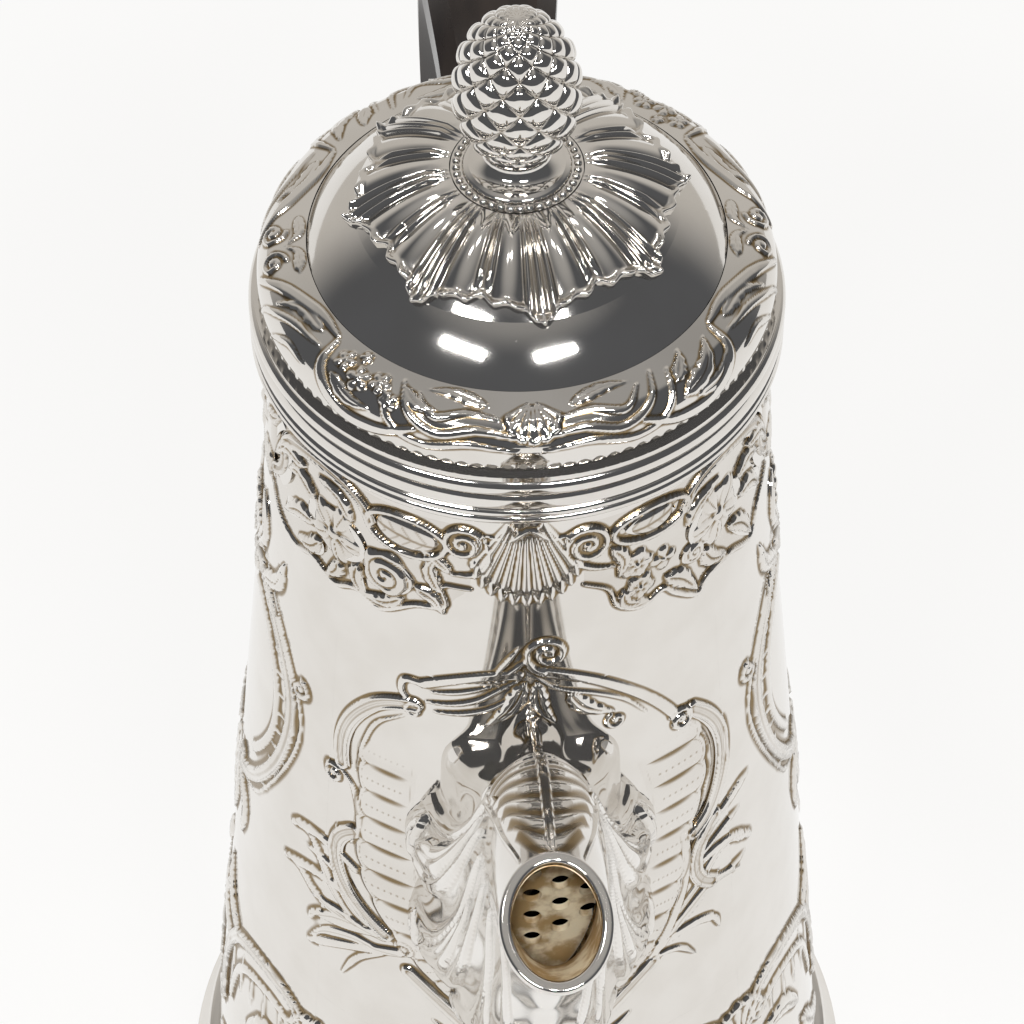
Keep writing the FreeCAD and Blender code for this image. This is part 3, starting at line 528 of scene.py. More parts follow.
def front_cartouche(r):
    """Scrolls, fluted ring and leaf fronds round the root of the spout."""
    inner = [(-19, 152), (-20, 140), (-19.5, 125), (-17, 111), (-12, 100), (-5, 94), (5, 93), (13, 98),
             (18, 109), (20, 125), (20.5, 140), (17.5, 153)]
    outer = [(-25, 161), (-28.5, 150), (-29, 140), (-30, 125), (-27.6, 114), (-19, 101), (-8, 91), (8, 90.5),
             (19, 99.6), (25.6, 113), (28.6, 128), (31, 140), (29, 152), (25, 159)]
    r.flutes(inner, outer, 6.4)
    # Crest
    r.volute((2.6, 179.6), 3.3, 200, -1.6, 0.55, 0.75)
    r.frond([(1.5, 175.6), (12, 170.6), (24, 157.4)])
    r.stroke([(-0.6, 178.3), (0.2, 176.6), (1.8, 175.4)], 0.8, 0.7, (0.7, 1))
    r.stroke([(-0.2, 175.2), (4, 171.6), (10, 169), (15, 165.6), (19, 160.6)], 0.45, 0.4)
    r.stroke([(-5.6, 174.8), (-3.4, 178.2), (-1.6, 181.2)], 0.55, 0.5, (0.7, 0.2))
    r.stroke([(-4.4, 174.4), (-2.2, 176.6), (-0.6, 178.4)], 0.55, 0.5, (0.5, 0.5))
    r.frond([(-2, 175), (-8, 174), (-17, 170.1)])
    r.stroke([(-16.6, 170.2), (-20, 169.9), (-20.6, 167), (-18.4, 164.6)], 0.7, 0.6, (1, 0.5))
    r.stroke([(-16.6, 166.2), (-12, 167.2), (-8, 169), (-4.6, 171.8), (-1.6, 174)], 0.55, 0.5)
    r.stroke([(-16, 168.6), (-11, 170), (-6, 172.2)], 0.5, 0.4)
    r.stroke([(-15.5, 164.4), (-10.5, 165.4), (-6, 167.4), (-2, 171)], 0.55, 0.45)
    r.dots([(-14, 171), (-9, 172.8), (-4, 173.4)])
    r.leaf([(1, 173), (1.5, 168), (4, 163.5)], 1.6, 0.7)
    r.leaf([(-1, 173), (-3, 168), (-7, 163.2)], 1.8, 0.7)
    r.leaf([(6, 170), (8.5, 166.5), (13.5, 163.6)], 1.7, 0.65)
    r.volute((13.6, 161.6), 1.8, 120, 1.3, 0.4, 0.5)
    # Left side
    r.band([(-18.4, 164.8), (-26.2, 160.8), (-32.6, 143.4)])
    r.volute((-18.6, 163.6), 1.7, 60, 1.2, 0.45, 0.65)
    r.stroke([(-20.4, 161.4), (-25.4, 157), (-28.2, 150.4), (-29.8, 143)], 0.45, 0.4)
    r.volute((-34.4, 139.4), 2.1, 60, 1.4, 0.45, 0.65)
    r.stroke([(-33.4, 141.6), (-31, 139.8), (-29.8, 136), (-29.6, 130), (-31.4, 125)], 0.7, 0.6)
    r.band([(-30.6, 128.4), (-34.8, 122), (-30.4, 110.6), (-25, 106.4)])
    r.volute((-21.6, 104.2), 1.8, 160, -1.3, 0.45, 0.6)
    # Right side
    r.volute((25.4, 155), 2.5, 140, -1.5, 0.5, 0.7)
    r.band([(27.6, 156), (34.4, 145.4), (33, 130.6), (28.6, 126)])
    r.stroke([(27.4, 152.6), (30, 149), (31.8, 143), (31.6, 136), (29.4, 130)], 0.45, 0.4)
    r.band([(33.4, 126.4), (29.4, 117), (33.2, 110.6)])
    r.frond([(26.6, 127), (26.4, 112), (19.4, 98)])
    # Fronds
    for path in (
        [(29.6, 122), (35, 125.6), (40, 128)], [(30.4, 117), (36, 117.4), (41, 114.4)],
        [(21, 101), (28, 103), (33, 101.4)], [(-30.8, 119), (-37, 121), (-43.6, 119.6)],
        [(-31, 111.4), (-38, 111.6), (-45, 109.4)], [(-25.4, 106.4), (-33, 103.4), (-39, 101.6)],
        [(-22.6, 103), (-31, 99.4), (-40, 94)],
    ):
        r.frond(path)
    for path in (
        [(39.4, 127.8), (41, 128.4), (42.8, 128.6)], [(29.4, 118.4), (36, 121.6), (41, 122.6)],
        [(40.4, 114.8), (42.4, 113.4), (44, 111.4)], [(32, 111.4), (37, 109.4), (42.4, 109.6)],
        [(21.4, 102.4), (28, 106.2), (35, 111.6)], [(32.4, 101.8), (34.4, 100), (35.4, 97)],
        [(20.4, 100), (26, 99), (30, 94.6)], [(-43, 119.8), (-44.6, 119), (-46, 117.4)],
        [(-32.4, 114), (-37.6, 116.4), (-43, 115.6)], [(-44.4, 109.6), (-46.6, 108.8), (-48.6, 107.4)],
        [(-38.4, 101.8), (-40.6, 100.4), (-42, 97.6)], [(-39.4, 94.2), (-41, 93.2), (-42.6, 91.8)],
        [(-26, 101), (-31, 96.4), (-34.8, 89.6)], [(-27, 105), (-34.6, 106), (-41, 104.6)],
    ):
        r.stroke(path, 0.7, 0.5, (0.9, 0.15))
    # Leaf blades
    for path in (
        [(-31.6, 105.7), (-35.2, 109.5), (-38, 114.7), (-40.5, 118.9), (-44.6, 119.6)],
        [(-31.7, 105.1), (-36.4, 104.8), (-40.4, 106.2), (-43.7, 108.6), (-48.5, 108.8)],
        [(-29, 106.5), (-32, 108.7), (-34.6, 113.7), (-35.3, 121.1), (-34.2, 127.8)],
        [(-25.6, 104.7), (-30.3, 105), (-35.4, 103.6), (-41.2, 99.7)],
        [(-22.8, 102.5), (-27.4, 101.5), (-31.8, 101.2), (-37.6, 98.3), (-41.9, 93.7)],
        [(28.4, 118.1), (32.9, 124.5), (37.2, 126.3), (42.3, 127.9)],
        [(26.1, 108), (31.1, 113.1), (35.9, 116.9), (43.4, 113.7)],
        [(23.3, 101.7), (26.8, 106.1), (33.2, 109.9), (40.9, 107.2)],
    ):
        r.stroke(path, 1.1, 0.42, (0.5, 0.15), 5)
        r.tint(path, 0.2, 0.5)
    # Foot of the cartouche
    for sign, path in halves():
        r.band(path((21, 99), (11, 88.2), (2, 76)))
        r.stroke(path((17, 88), (12, 83), (10, 77), (12.6, 72.4)), 0.7, 0.55, (0.3, 0.8))
        r.volute((sign * 14.4, 73.6), 2.2, 90 - sign * 100, sign * 1.3, 0.45, 0.6)
        r.leaf(path((1, 84), (2.6, 76), (5, 68)), 1.8, 0.7)
    r.leaf([(0, 86), (0, 76), (0, 64)], 2.2, 0.85, bed=LEAF_HALF)


def garland(r):
    """Shell, scrolls, flowers and leaves that hang below the mouth."""
    r.fan((-0.6, 212), 21.5, 34, 13, 0.7, 0.3)
    r.stroke([(-6.6, 204.6), (-3, 204), (0, 206), (3, 204), (6.6, 204.6)], 0.55, 0.5)
    r.volute((-10, 202.6), 3.2, 40, 1.7, 0.6, 0.9)
    r.volute((8.6, 201.8), 3.6, 140, -1.7, 0.65, 0.9)
    r.stroke([(-7, 204.6), (-6, 200), (-8.2, 196.4), (-12, 195.6)], 0.6, 0.6)
    r.stroke([(5.4, 204), (5.6, 199.6), (9, 196.8), (13, 195.6)], 0.6, 0.6)
    # Cabochons
    for sign, z, tall in ((-1, 201.2, 3.7), (1, 202.2, 3.0)):
        r.dome((sign * 19.2, z), tall - 0.7, 1.0, 1.75)
        turn = np.linspace(0, 2 * math.pi, ARC_STEPS)
        ring = [(sign * 19.2 + 6.6 * math.cos(a), z + tall * math.sin(a)) for a in turn]
        r.stroke(ring, 0.62, 0.8, (1, 1))
        r.tint([(sign * 24.4, z + 0.8), (sign * 19.2, z + 0.3), (sign * 13.6, z - 1)], 0.4, 0.8)
        for x in (15.6, 17.8, 20, 22.2):
            r.tint([(sign * x, z), (sign * (x + 1.6), z + 1.8)], 0.3, 0.6)
            r.tint([(sign * x, z), (sign * (x + 1.6), z - 1.6)], 0.3, 0.6)
    r.leaf([(-12, 196), (-15, 198.6), (-17.6, 199.4)], 1.2, 0.7)
    r.leaf([(-14, 191.6), (-15.4, 195.6), (-14, 199)], 1.5, 0.8)
    r.leaf([(12.6, 199.4), (14.4, 196.4), (13.4, 192.6)], 1.4, 0.8)
    # Flowers
    r.flower((-32.6, 193.6), 6.0, 5, 1.25, 0.6)
    r.rose((-22.6, 191.4), 4.9, 1.3)
    r.flower((32.6, 194.4), 6.3, 5, 1.25, 2.2)
    r.flower((16.6, 194.4), 3.2, 5, 1.0)
    r.flower((17.2, 189.4), 2.9, 5, 1.0, 1.5)
    r.flower((21.4, 193), 2.5, 4, 0.8)
    r.rose((27.4, 190.4), 2.6, 0.9)
    # Leaves
    for path, width in (
        ([(-37, 197), (-41.4, 198.6), (-45, 196.4)], 1.7), ([(-37.4, 192), (-42, 190.6), (-46.4, 187)], 1.8),
        ([(-36, 189), (-38.4, 186.4), (-42, 185)], 1.7), ([(-32, 188), (-32.4, 186), (-34.6, 183.6)], 1.6),
        ([(-28, 190), (-28.4, 187), (-26.6, 184.4)], 1.6), ([(-20, 187.6), (-23, 185.4), (-27, 184.6)], 1.4),
        ([(-17.6, 191), (-14.8, 189.6), (-13.4, 187)], 1.5),
        ([(-29, 198.6), (-31.6, 201.6), (-36, 202)], 1.5),
        ([(22, 188.6), (25, 186.4), (28.2, 182)], 1.9), ([(29.4, 189), (31.4, 186), (35, 184)], 1.8),
        ([(36, 189), (39.4, 186.6), (43, 181.4)], 1.8), ([(38.6, 193), (43, 192), (46.6, 188)], 1.8),
        ([(38, 197), (42, 198), (46, 195.4)], 1.6), ([(14.4, 189.6), (15, 187), (18.6, 185.8)], 1.4),
        ([(26, 197), (28.6, 200), (33, 201.2)], 1.5), ([(-40, 201), (-46, 199.6), (-51, 194)], 1.6),
        ([(42, 200), (48, 197.6), (52.4, 191)], 1.6),
    ):
        r.leaf(path, width, 0.85, bed=0.9)
    for centre, radius in (
        ((-32.6, 193.6), 4.2), ((-22.6, 191.4), 3.6), ((32.6, 194.4), 4.4), ((16.6, 194.4), 2.0),
        ((17.2, 189.4), 1.8), ((27.4, 190.4), 1.7), ((-10, 202.6), 2.6), ((8.6, 201.8), 2.9),
    ):
        r.disc(centre, radius)
    # Scrolls and the raised outline
    for sign, path in halves():
        r.band(path((25.4, 201), (34, 205.4), (47, 198), (51, 191)), 0.8, 0.7)
        r.band(path((50, 203), (57, 198), (56.6, 188.6)), 0.8, 0.7)
        r.volute((sign * 54.6, 188.8), 2.0, 90, -sign * 1.3, 0.5, 0.7)
    for outline in (
        [(-9, 193), (-13.4, 192.6), (-13, 188.4), (-18, 187), (-24, 183.4), (-28.6, 184.8), (-33, 182.8),
         (-38, 184.4), (-43, 182.6), (-49, 183.6), (-53, 187)],
        [(8, 193.4), (12, 191), (13.6, 186.8), (17.6, 185), (21.4, 186.6), (24, 184), (28.4, 180.8),
         (30.6, 183), (36.4, 183), (43, 180.2), (46.4, 184.6), (52, 187)],
    ):
        r.stroke(outline, 0.6, 0.6, (0.5, 0.4))
        r.wash(outline, 206, 0.3)


def side_rosette(r):
    """A flower on a cushion between the two garlands, with leaves to each side."""
    r.dome((0, 196.4), 8.6, 0.75, 1.25, 3.0)
    r.flower((0, 196.4), 7.0, 6, 1.5, 0.4)
    for _, path in halves():
        r.leaf(path((5, 199), (8.5, 200.4), (11.4, 203.4)), 1.6, 1.1)
        r.leaf(path((5, 193.6), (8, 191), (9, 186.6)), 1.6, 1.1)


def side_cartouche(r):
    """A tall cartouche of facing scrolls on the pot's side."""
    for sign, path in halves():
        r.band(path((3, 164), (12, 163), (24, 142), (15, 116), (5, 108)))
        r.frond(path((6, 158), (14, 154), (18, 131), (12, 120)))
        r.volute((sign * 4, 161), 2.4, 90 + sign * 40, -sign * 1.4, 0.5, 0.7)
        r.volute((sign * 25.4, 151.6), 2.2, 90, -sign * 1.3, 0.5, 0.65)
        r.volute((sign * 6, 110.8), 2.2, 270, -sign * 1.4, 0.5, 0.65)
        r.stroke(path((3.4, 166.4), (13.4, 165.4), (26.6, 142.6), (17, 114), (6, 105.6)), 0.45, 0.4)
        for width, *points in (
            (2.0, (5, 167), (8, 173), (5, 179)), (1.8, (10, 164), (15.4, 168), (17, 174)),
            (2.0, (6, 106), (10, 100), (9, 92)), (2.0, (2, 108), (3, 98), (1, 88)),
        ):
            r.leaf(path(*points), width, 0.8, bed=LEAF_HALF)
        for k in range(9):
            z = 116 + k * 4.6
            bow = (z - 136) ** 2 / 130
            r.stroke(path((18.6 - bow, z), (22 - bow, z + 0.6)), 0.45, 0.3)
    r.fan((0, 161), 13.5, 52, 9, 0.75, 0.2, 90)
    r.fan((0, 110), 13, 44, 7, 0.7, 0.2, -90)


def base_border(r):
    """One motif of the border that rises from the foot: facing scrolls, leaf sprays and flowers."""
    for sign, path in halves():
        r.band(path((4, 68), (12, 72), (30, 62), (36, 38)))
        r.frond(path((6, 62), (14, 65), (28, 54), (31, 44)))
        r.volute((sign * 6.4, 64.4), 2.8, 90, sign * 1.5, 0.55, 0.75)
        r.volute((sign * 38, 36), 2.6, 90, -sign * 1.4, 0.55, 0.7)
        for width, *points in (
            (2.2, (28, 66), (34, 70), (36, 78)), (2.4, (8, 56), (15, 54), (22, 46)),
            (2.4, (5, 48), (12, 42), (20, 36)), (2.4, (24, 38), (30, 30), (38, 26)),
        ):
            r.leaf(path(*points), width, 0.85, bed=LEAF_HALF)
        r.leaf(path((33, 58), (40, 60), (43, 68)), 2.0, 0.75)
        for n in range(5):
            r.stroke(path((10 + 5 * n, 66 - n), (11 + 5 * n, 57 - 2 * n)), 0.45, 0.3)
    r.flower((0, 52), 7.5, 5, 1.0, 0.3)
    r.rose((9, 40), 5, 0.95)
    r.flower((-9, 41), 5, 5, 0.9)
    r.fan((0, 60), 12, 55, 7, 0.8, 0.2, 90)
    r.stroke([(-36, 24), (-18, 20), (0, 24), (18, 20), (36, 24)], 0.7, 0.5)


def body_panel(name, start, end, low, high, pitch):
    """One stretch of the body's skin between two angles (degrees, 0 at the spout) and two heights."""
    across_count = int(math.radians(end - start) * body_radius((low + high) / 2) / pitch)
    up_count = int((high - low) / pitch)

    def place(across, up):
        angle = np.radians(start + (end - start) * across)
        z = low + (high - low) * up
        radius = body_radius(z)
        r = Relief(angle, z)

        def lay_out_round(degrees):
            turn = angle - math.radians(degrees)
            r.across = np.arctan2(np.sin(turn), np.cos(turn)) * radius
            return r

        front_cartouche(lay_out_round(0))
        for degrees in (0, 180):
            garland(lay_out_round(degrees))
        for degrees in (-90, 90):
            side_cartouche(lay_out_round(degrees))
            side_rosette(lay_out_round(degrees))
        for degrees in (-135, -45, 45, 135):
            base_border(lay_out_round(degrees))
        fade = np.clip((z - BASE_Z - 1) / 6, 0, 1)
        radius = radius + SKIN + r.height * fade
        return turned(radius, angle, z), r.recess()

    obj = sheet(name, across_count, up_count, place)
    mount(obj, "pot")
    return obj


def open_strainer(obj):
    """Take the skin away inside the root of the spout, where the wall is pierced."""
    mesh = obj.data
    middles = np.zeros(len(mesh.polygons) * 3)
    mesh.polygons.foreach_get("center", middles)
    x, _, z = middles.reshape(-1, 3).T / MM
    width, height, middle = STRAINER
    hidden = np.hypot(x / width, (z - middle) / height) < 1
    for kind in (mesh.vertices, mesh.edges):
        kind.foreach_set("select", np.zeros(len(kind), bool))
    mesh.polygons.foreach_set("select", hidden)
    bpy.ops.object.mode_set(mode="EDIT")
    bpy.ops.mesh.select_mode(type="FACE")
    bpy.ops.mesh.delete(type="FACE")
    bpy.ops.object.mode_set(mode="OBJECT")


# Name, start and end angle, low and high edge, and cell size; neighbours overlap a little
PIERCED_PANELS = (
    ("chased_front_right", 0, 46.3, 79.8, 172, 0.235),
    ("chased_front_left", -46.3, 0, 79.8, 172, 0.235),
)
CLOSED_PANELS = (
    ("chased_front_foot", -46.3, 46.3, 13, 80, 0.4),
    ("chased_right", 46, 134, 13, 172, 0.45),
    ("chased_left", -134, -46, 13, 172, 0.45),
    ("chased_back", 133.7, 226.3, 13, 172, 0.6),
    ("chased_neck_front", -90.3, 90.3, 172, 209.8, 0.235),
    ("chased_neck_back", 90, 270, 172, 209.8, 0.45),
)
for panel in PIERCED_PANELS:
    open_strainer(body_panel(*panel))
for panel in CLOSED_PANELS:
    body_panel(*panel)


# Lid


def arc_through(a, b, c):
    """Centre and radius of the circle through three profile points."""
    (ax, ay), (bx, by), (cx, cy) = a, b, c
    aa, bb, cc = ax ** 2 + ay ** 2, bx ** 2 + by ** 2, cx ** 2 + cy ** 2
    d = 2 * (ax * (by - cy) + bx * (cy - ay) + cx * (ay - by))
    x = (aa * (by - cy) + bb * (cy - ay) + cc * (ay - by)) / d
    y = (aa * (cx - bx) + bb * (ax - cx) + cc * (bx - ax)) / d
    return (x, y), math.hypot(ax - x, ay - y)


def arc_points(a, b, c):
    """Points along the arc from a to c that passes through b."""
    (x, y), radius = arc_through(a, b, c)
    start, end = math.atan2(a[1] - y, a[0] - x), math.atan2(c[1] - y, c[0] - x)
    return [(x + radius * math.cos(t), y + radius * math.sin(t)) for t in np.linspace(start, end, ARC_STEPS)]


FLANGE_TOP = 220.8
SEAT_Z = 244.2
BAND_FOOT, BAND_SWELL, BAND_TOP = (38.6, FLANGE_TOP), (39.2, FLANGE_TOP + 4.2), (36.4, FLANGE_TOP + 8.2)
LEDGE_RADIUS, LEDGE_RISE, LEDGE_STEPS = 31.7, 1.1, 8
BAND = np.array(arc_points(BAND_FOOT, BAND_SWELL, BAND_TOP) + [
    (BAND_TOP[0] + (LEDGE_RADIUS - BAND_TOP[0]) * k / LEDGE_STEPS, BAND_TOP[1] + LEDGE_RISE * k / LEDGE_STEPS)
    for k in range(1, LEDGE_STEPS + 1)
])
BAND_DEPTH = 0.5
BAND_TEETH = 110
CROWN = ((24.4, FLANGE_TOP + 16.2), (17.2, FLANGE_TOP + 21.2), (9.9, SEAT_Z))


def along_profile(profile, share):
    """Radius, height and outward normal at a share of a profile's length, and that length."""
    run = run_length(profile)
    slope = np.gradient(profile, run, axis=0)
    at = share * run[-1]
    radius, z = (np.interp(at, run, profile[:, k]) for k in (0, 1))
    dr, dz = (np.interp(at, run, slope[:, k]) for k in (0, 1))
    size = np.hypot(dr, dz)
    return radius, z, dz / size, -dr / size, run[-1]


def band_ornament(r):
    """Flowers, a shell and long scrolls chased round the lid, laid out over half of its girth."""
    r.fan((0.5, 12.8), 7.0, 62, 7, 0.95, 0.15)
    for sign, path in halves():
        r.stroke(path((1.5, 6.8), (8, 7.6), (14, 6.2), (19, 8.2), (21.6, 12.4)), 0.75, 0.8)
        r.stroke(path((2, 4.8), (9, 5.4), (16, 4.0), (21.6, 6.0), (24.4, 11.4)), 0.7, 0.7)
        r.stroke(path((5, 9.6), (10, 10), (15, 8.6), (18.4, 11.4)), 0.65, 0.65)
        r.stroke(path((36.4, 12), (35, 7), (29.4, 3.6), (23, 3.8), (17.4, 6)), 1.3, 1.0)
        r.stroke(path((37, 12.6), (43, 12.8), (51, 10), (57, 5.4)), 1.2, 0.9)
        r.stroke(path((38, 9.6), (45, 8.6), (51, 5.4), (53, 2.8)), 0.65, 0.6)
        r.stroke(path((38.4, 5.6), (43, 6), (47.6, 3.4)), 0.65, 0.6)
        r.volute((sign * 57.4, 8.8), 2.2, 90, -sign * 1.4, 0.5, 0.8)
        r.leaf(path((40, 11.4), (46, 11), (50, 7.6)), 1.3, 0.7)
        r.leaf(path((7, 11.6), (12.4, 12.8), (17.4, 12.4)), 1.1, 0.7)
        r.leaf(path((54, 12.6), (58.4, 13), (60.4, 11)), 1.0, 0.7)
    for x, z, size in (
        (-32.4, 10.6, 1.9), (-28.6, 9.4, 2.2), (-25, 10.4, 2.0), (-29.8, 12.8, 1.2), (-22.4, 8.4, 1.6),
    ):
        r.flower((x, z), size, 5, 1.2, x)
    r.leaf([(-33, 7.8), (-29, 6), (-24.4, 6.2)], 1.2, 0.8)
    r.leaf([(-21, 11.4), (-18, 9.6), (-14.4, 9.4)], 1.1, 0.8)
    r.leaf([(25, 6.6), (30, 8.2), (34, 12)], 1.7, 0.9)
    r.leaf([(24.6, 9), (27.4, 11.4), (28.4, 13)], 1.2, 0.8)
    r.leaf([(27, 5.4), (31.4, 5.6), (34.8, 8)], 1.2, 0.8)


def place_band(across, up):
    """The chased band round the lid, with a row of small teeth near its foot."""
    angle = 2 * math.pi * across - math.pi
    radius, z, out_r, out_z, length = along_profile(BAND, up)
    r = Relief(((angle + math.pi / 2) % math.pi - math.pi / 2) * BAND_FOOT[0], up * length)
    band_ornament(r)
    r.height *= BAND_DEPTH
    tooth = np.clip(np.cos(angle * BAND_TEETH), 0, 1) * np.exp(-((up * length - 1.7) / 0.42) ** 2)
    r.height = np.maximum(r.height, 0.2 * tooth)
    sunk = r.recess()
    rise = SKIN + r.height * np.clip((1 - up) / 0.03, 0, 1)
    return turned(radius + rise * out_r, angle, z + rise * out_z), sunk


mount(sheet("chased_lid_band", 760, 64, place_band, closed=True), "lid")


# Calyx: radii in millimetres, the rest in degrees
CALYX_INNER, CALYX_OUTER, TIP_LENGTH = 9.95, 22.5, 2.7
TIP_PITCH = 45
CALYX_TURN = 6
RUFFLES = 40


def place_calyx(across, up):
    """Fluted rosette: eight reeded tips with broad lobes and paired reeds between them."""
    angle = 2 * math.pi * across - math.pi
    turn = np.degrees(angle) - CALYX_TURN
    inside = (turn + TIP_PITCH / 2) % TIP_PITCH - TIP_PITCH / 2
    half = (turn + TIP_PITCH) % TIP_PITCH - TIP_PITCH / 2
    ruffle = np.cos(np.radians(turn * RUFFLES))
    edge = CALYX_OUTER + TIP_LENGTH * np.exp(-(inside / 6.5) ** 2) + 0.35 * ruffle * (np.abs(inside) > 7)
    edge += 0.7 * np.exp(-((np.abs(inside) - 14) / 4.0) ** 2)
    radius = CALYX_INNER + (edge - CALYX_INNER) * up
    (cr, cz), size = arc_through(*CROWN)
    tilt = np.arccos(np.clip((radius - cr) / size, -1, 1))
    reeds = sum(np.exp(-((inside - c) / 1.35) ** 2) for c in (-4.4, 0, 4.4))
    pair = sum(np.exp(-((half - c) / 1.2) ** 2) for c in (-2.2, 2.2))
    lobe = np.clip(1 - ((np.abs(inside) - 12.6) / 6.2) ** 2, 0, 1)
    fade = np.clip(up / 0.22, 0, 1)
    short = np.clip((0.9 - up) / 0.2, 0, 1)
    height = 0.5 + fade * (0.95 * reeds + 0.8 * pair * short + 0.75 * lobe * np.sqrt(np.clip(up, 0, 1)))
    rim = np.exp(-((up - 0.955) / 0.03) ** 2) * (0.85 + 0.35 * ruffle)
    drop = np.clip((1 - up) / 0.03, 0, 1) ** 0.5
    height = (height + rim * 0.9) * drop + 0.06
    out_r, out_z = np.cos(tilt), np.sin(tilt)
    z = cz + size * np.sin(tilt) + height * out_z
    sunk = np.clip(0.9 - (reeds + pair + lobe * 1.2), 0, 1) * fade * 0.6 * (up < 0.93)
    return turned(radius + height * out_r, angle, z), sunk


# Finial

CONE_Z, CONE_H = 248.8, 26.2
CONE_FOOT_R, CONE_R = 4.6, 8.9
CONE_WIDEST = 0.40
SCALES_ROUND = 10
SCALE_RISE = 1.35


def place_cone(across, up):
    """Pine cone: rounded scales in a crossed lattice, each lifted towards its tip."""
    angle = 2 * math.pi * across
    share = np.clip(up, 0, 1)
    swell = np.sin(0.5 * math.pi * np.clip(share / CONE_WIDEST, 0, 1))
    low = CONE_FOOT_R + (CONE_R - CONE_FOOT_R) * swell
    fall = np.clip((share - CONE_WIDEST) / (1 - CONE_WIDEST), 0, 1)
    core = np.where(share < CONE_WIDEST, low, CONE_R * np.sqrt(np.clip(1 - fall ** 2.15, 0, 1)))
    girth = np.maximum(core[:, 0], 2.4) * 2 * math.pi / SCALES_ROUND
    run = np.hypot(np.gradient(core[:, 0]), np.gradient(CONE_H * share[:, 0]))
    around, level = SCALES_ROUND * across, 0.9 * np.cumsum(run / girth)[:, None]
    first = (around + level) % 1 - 0.5
    second = (around - level) % 1 - 0.5
    pillow = (1 - np.abs(2 * first) ** 2.4) * (1 - np.abs(2 * second) ** 2.4)
    tip = np.clip(0.5 + 0.5 * (first - second), 0, 1)
    height = np.sqrt(np.clip(pillow, 0, 1)) * (0.65 + 0.35 * tip)
    size = SCALE_RISE * np.clip((1 - share) / 0.3, 0.2, 1) ** 0.6 * np.clip(share / 0.08, 0.2, 1)
    radius = core + height * size - 0.35
    radius = np.where(share > 0.999, 0, np.maximum(radius, 0))
    lift = 0.35 * height * size * np.clip((share - 0.5) / 0.4, 0, 1) * (share < 0.99)
    z = CONE_Z + CONE_H * (1 - 0.02) * share + lift
    sunk = np.clip(0.6 - height, 0, 1) * (share > 0.03)
    return turned(radius, angle, z), sunk


mount(sheet("fluted_calyx", 1080, 72, place_calyx, closed=True), "lid", "lid_calyx")
mount(sheet("pine_cone", 330, 270, place_cone, closed=True), "lid", "finial_cone")


# Spout

# Each station: reach and height of the upper line and of the lower line, half width, and how far the lobes
# swell on the flanks and on the crest
SPOUT = np.array([
    (28.0, 159.5, 33.0, 84.0, 18.0, 0.9, 1.2), (40.0, 161.0, 51.5, 92.0, 17.4, 1.1, 1.5),
    (49.5, 165.5, 66.5, 108.0, 14.8, 0.9, 1.3), (56.5, 174.0, 79.5, 132.5, 11.8, 0.5, 0.5),
    (63.0, 184.0, 89.0, 157.0, 9.8, 0.15, 0.0), (71.5, 192.4, 96.8, 176.5, 8.7, 0.0, 0.0),
    (82.5, 198.2, 104.5, 189.0, 8.0, 0.0, 0.0), (94.0, 203.0, 112.5, 197.4, 7.5, 0.0, 0.0),
])
ROOT_LOBES = 10
SPOUT_SKIN = 0.2
DEGREES_PER_STEP = 4.5
SPOUT_STEPS = 100


def spout_station(share):
    """A station at a share of the way along the spout."""
    p = run_on(SPOUT)
    place = np.clip(share, 0, 1) * (len(SPOUT) - 1)
    k = np.minimum(place.astype(int), len(SPOUT) - 2)
    t = (place - k)[..., None]
    return spline(p[k], p[k + 1], p[k + 2], p[k + 3], t)


def spout_place(angle, share, rise):
    """A point of the spout's lobed outside: angle 0 is its upper line, raised by a height."""
    s = spout_station(share)
    lobe = np.where(np.abs(angle) < 3 * math.pi / ROOT_LOBES, s[..., 6], s[..., 5])
    rise = rise + np.maximum(lobe, 0) * (1 + np.cos(ROOT_LOBES * angle))
    mid_y, mid_z = (s[..., 0] + s[..., 2]) / 2, (s[..., 1] + s[..., 3]) / 2
    ay, az = (s[..., 0] - s[..., 2]) / 2, (s[..., 1] - s[..., 3]) / 2
    half = np.hypot(ay, az)
    along = (half + rise) * np.cos(angle)
    x = (s[..., 4] + rise) * np.sin(angle)
    return x, -(mid_y + ay / half * along), mid_z + az / half * along


def spout_ornament(r):
    """Rolled acanthus leaves along the flanks and a palmette on top of the neck; the crest stays plain."""
    for sign, path in halves():
        for height, *points in (
            (1.0, (13.2, 0), (13, 14), (12.6, 30), (11.4, 46), (10.4, 62)),
            (0.9, (17.8, 2), (18.2, 16), (17, 34), (14.6, 54)),
            (0.9, (22, 2), (22, 18), (20.4, 38), (17.6, 60)),
            (0.8, (26.2, 3), (26.2, 20), (24.2, 42), (20.6, 66)),
            (0.8, (30, 4), (30, 22), (28, 46), (24, 70)),
            (0.8, (35.8, 5), (35, 26), (32, 50), (28, 72)),
        ):
            r.stroke(path(*points), 0.8, height, (0.9, 0.3))
        for x in (16, 24, 32):
            r.volute((sign * x, 4.6), 2.1, 90, sign * 1.2, 0.7, 1.3)
            r.leaf(path((x, 8), (x - 0.6, 24), (x - 3.6, 46)), 1.7, 0.8, 4)
        r.stroke(path((3, 33), (10.6, 46), (12.4, 64), (11.4, 82), (8, 97)), 0.6, 0.6, (0.5, 0.6), 3)
        for k in range(8):
            y = 46 + 7 * k
            spread = 11.6 - 0.005 * (y - 68) ** 2
            r.stroke(path((0.9, y), (0.5 * spread, y - 2.6), (spread, y - 10)), 2.0, 0.4, (0.9, 0.6), 2)
            r.tint(path((1.6, y + 3.5), (0.5 * spread, y + 0.9), (spread - 0.8, y - 6)), 1.7, 1.0)
    r.stroke([(0, 33), (0, 60), (0, 97)], 1.4, 0.5, (0.5, 0.9), 6)


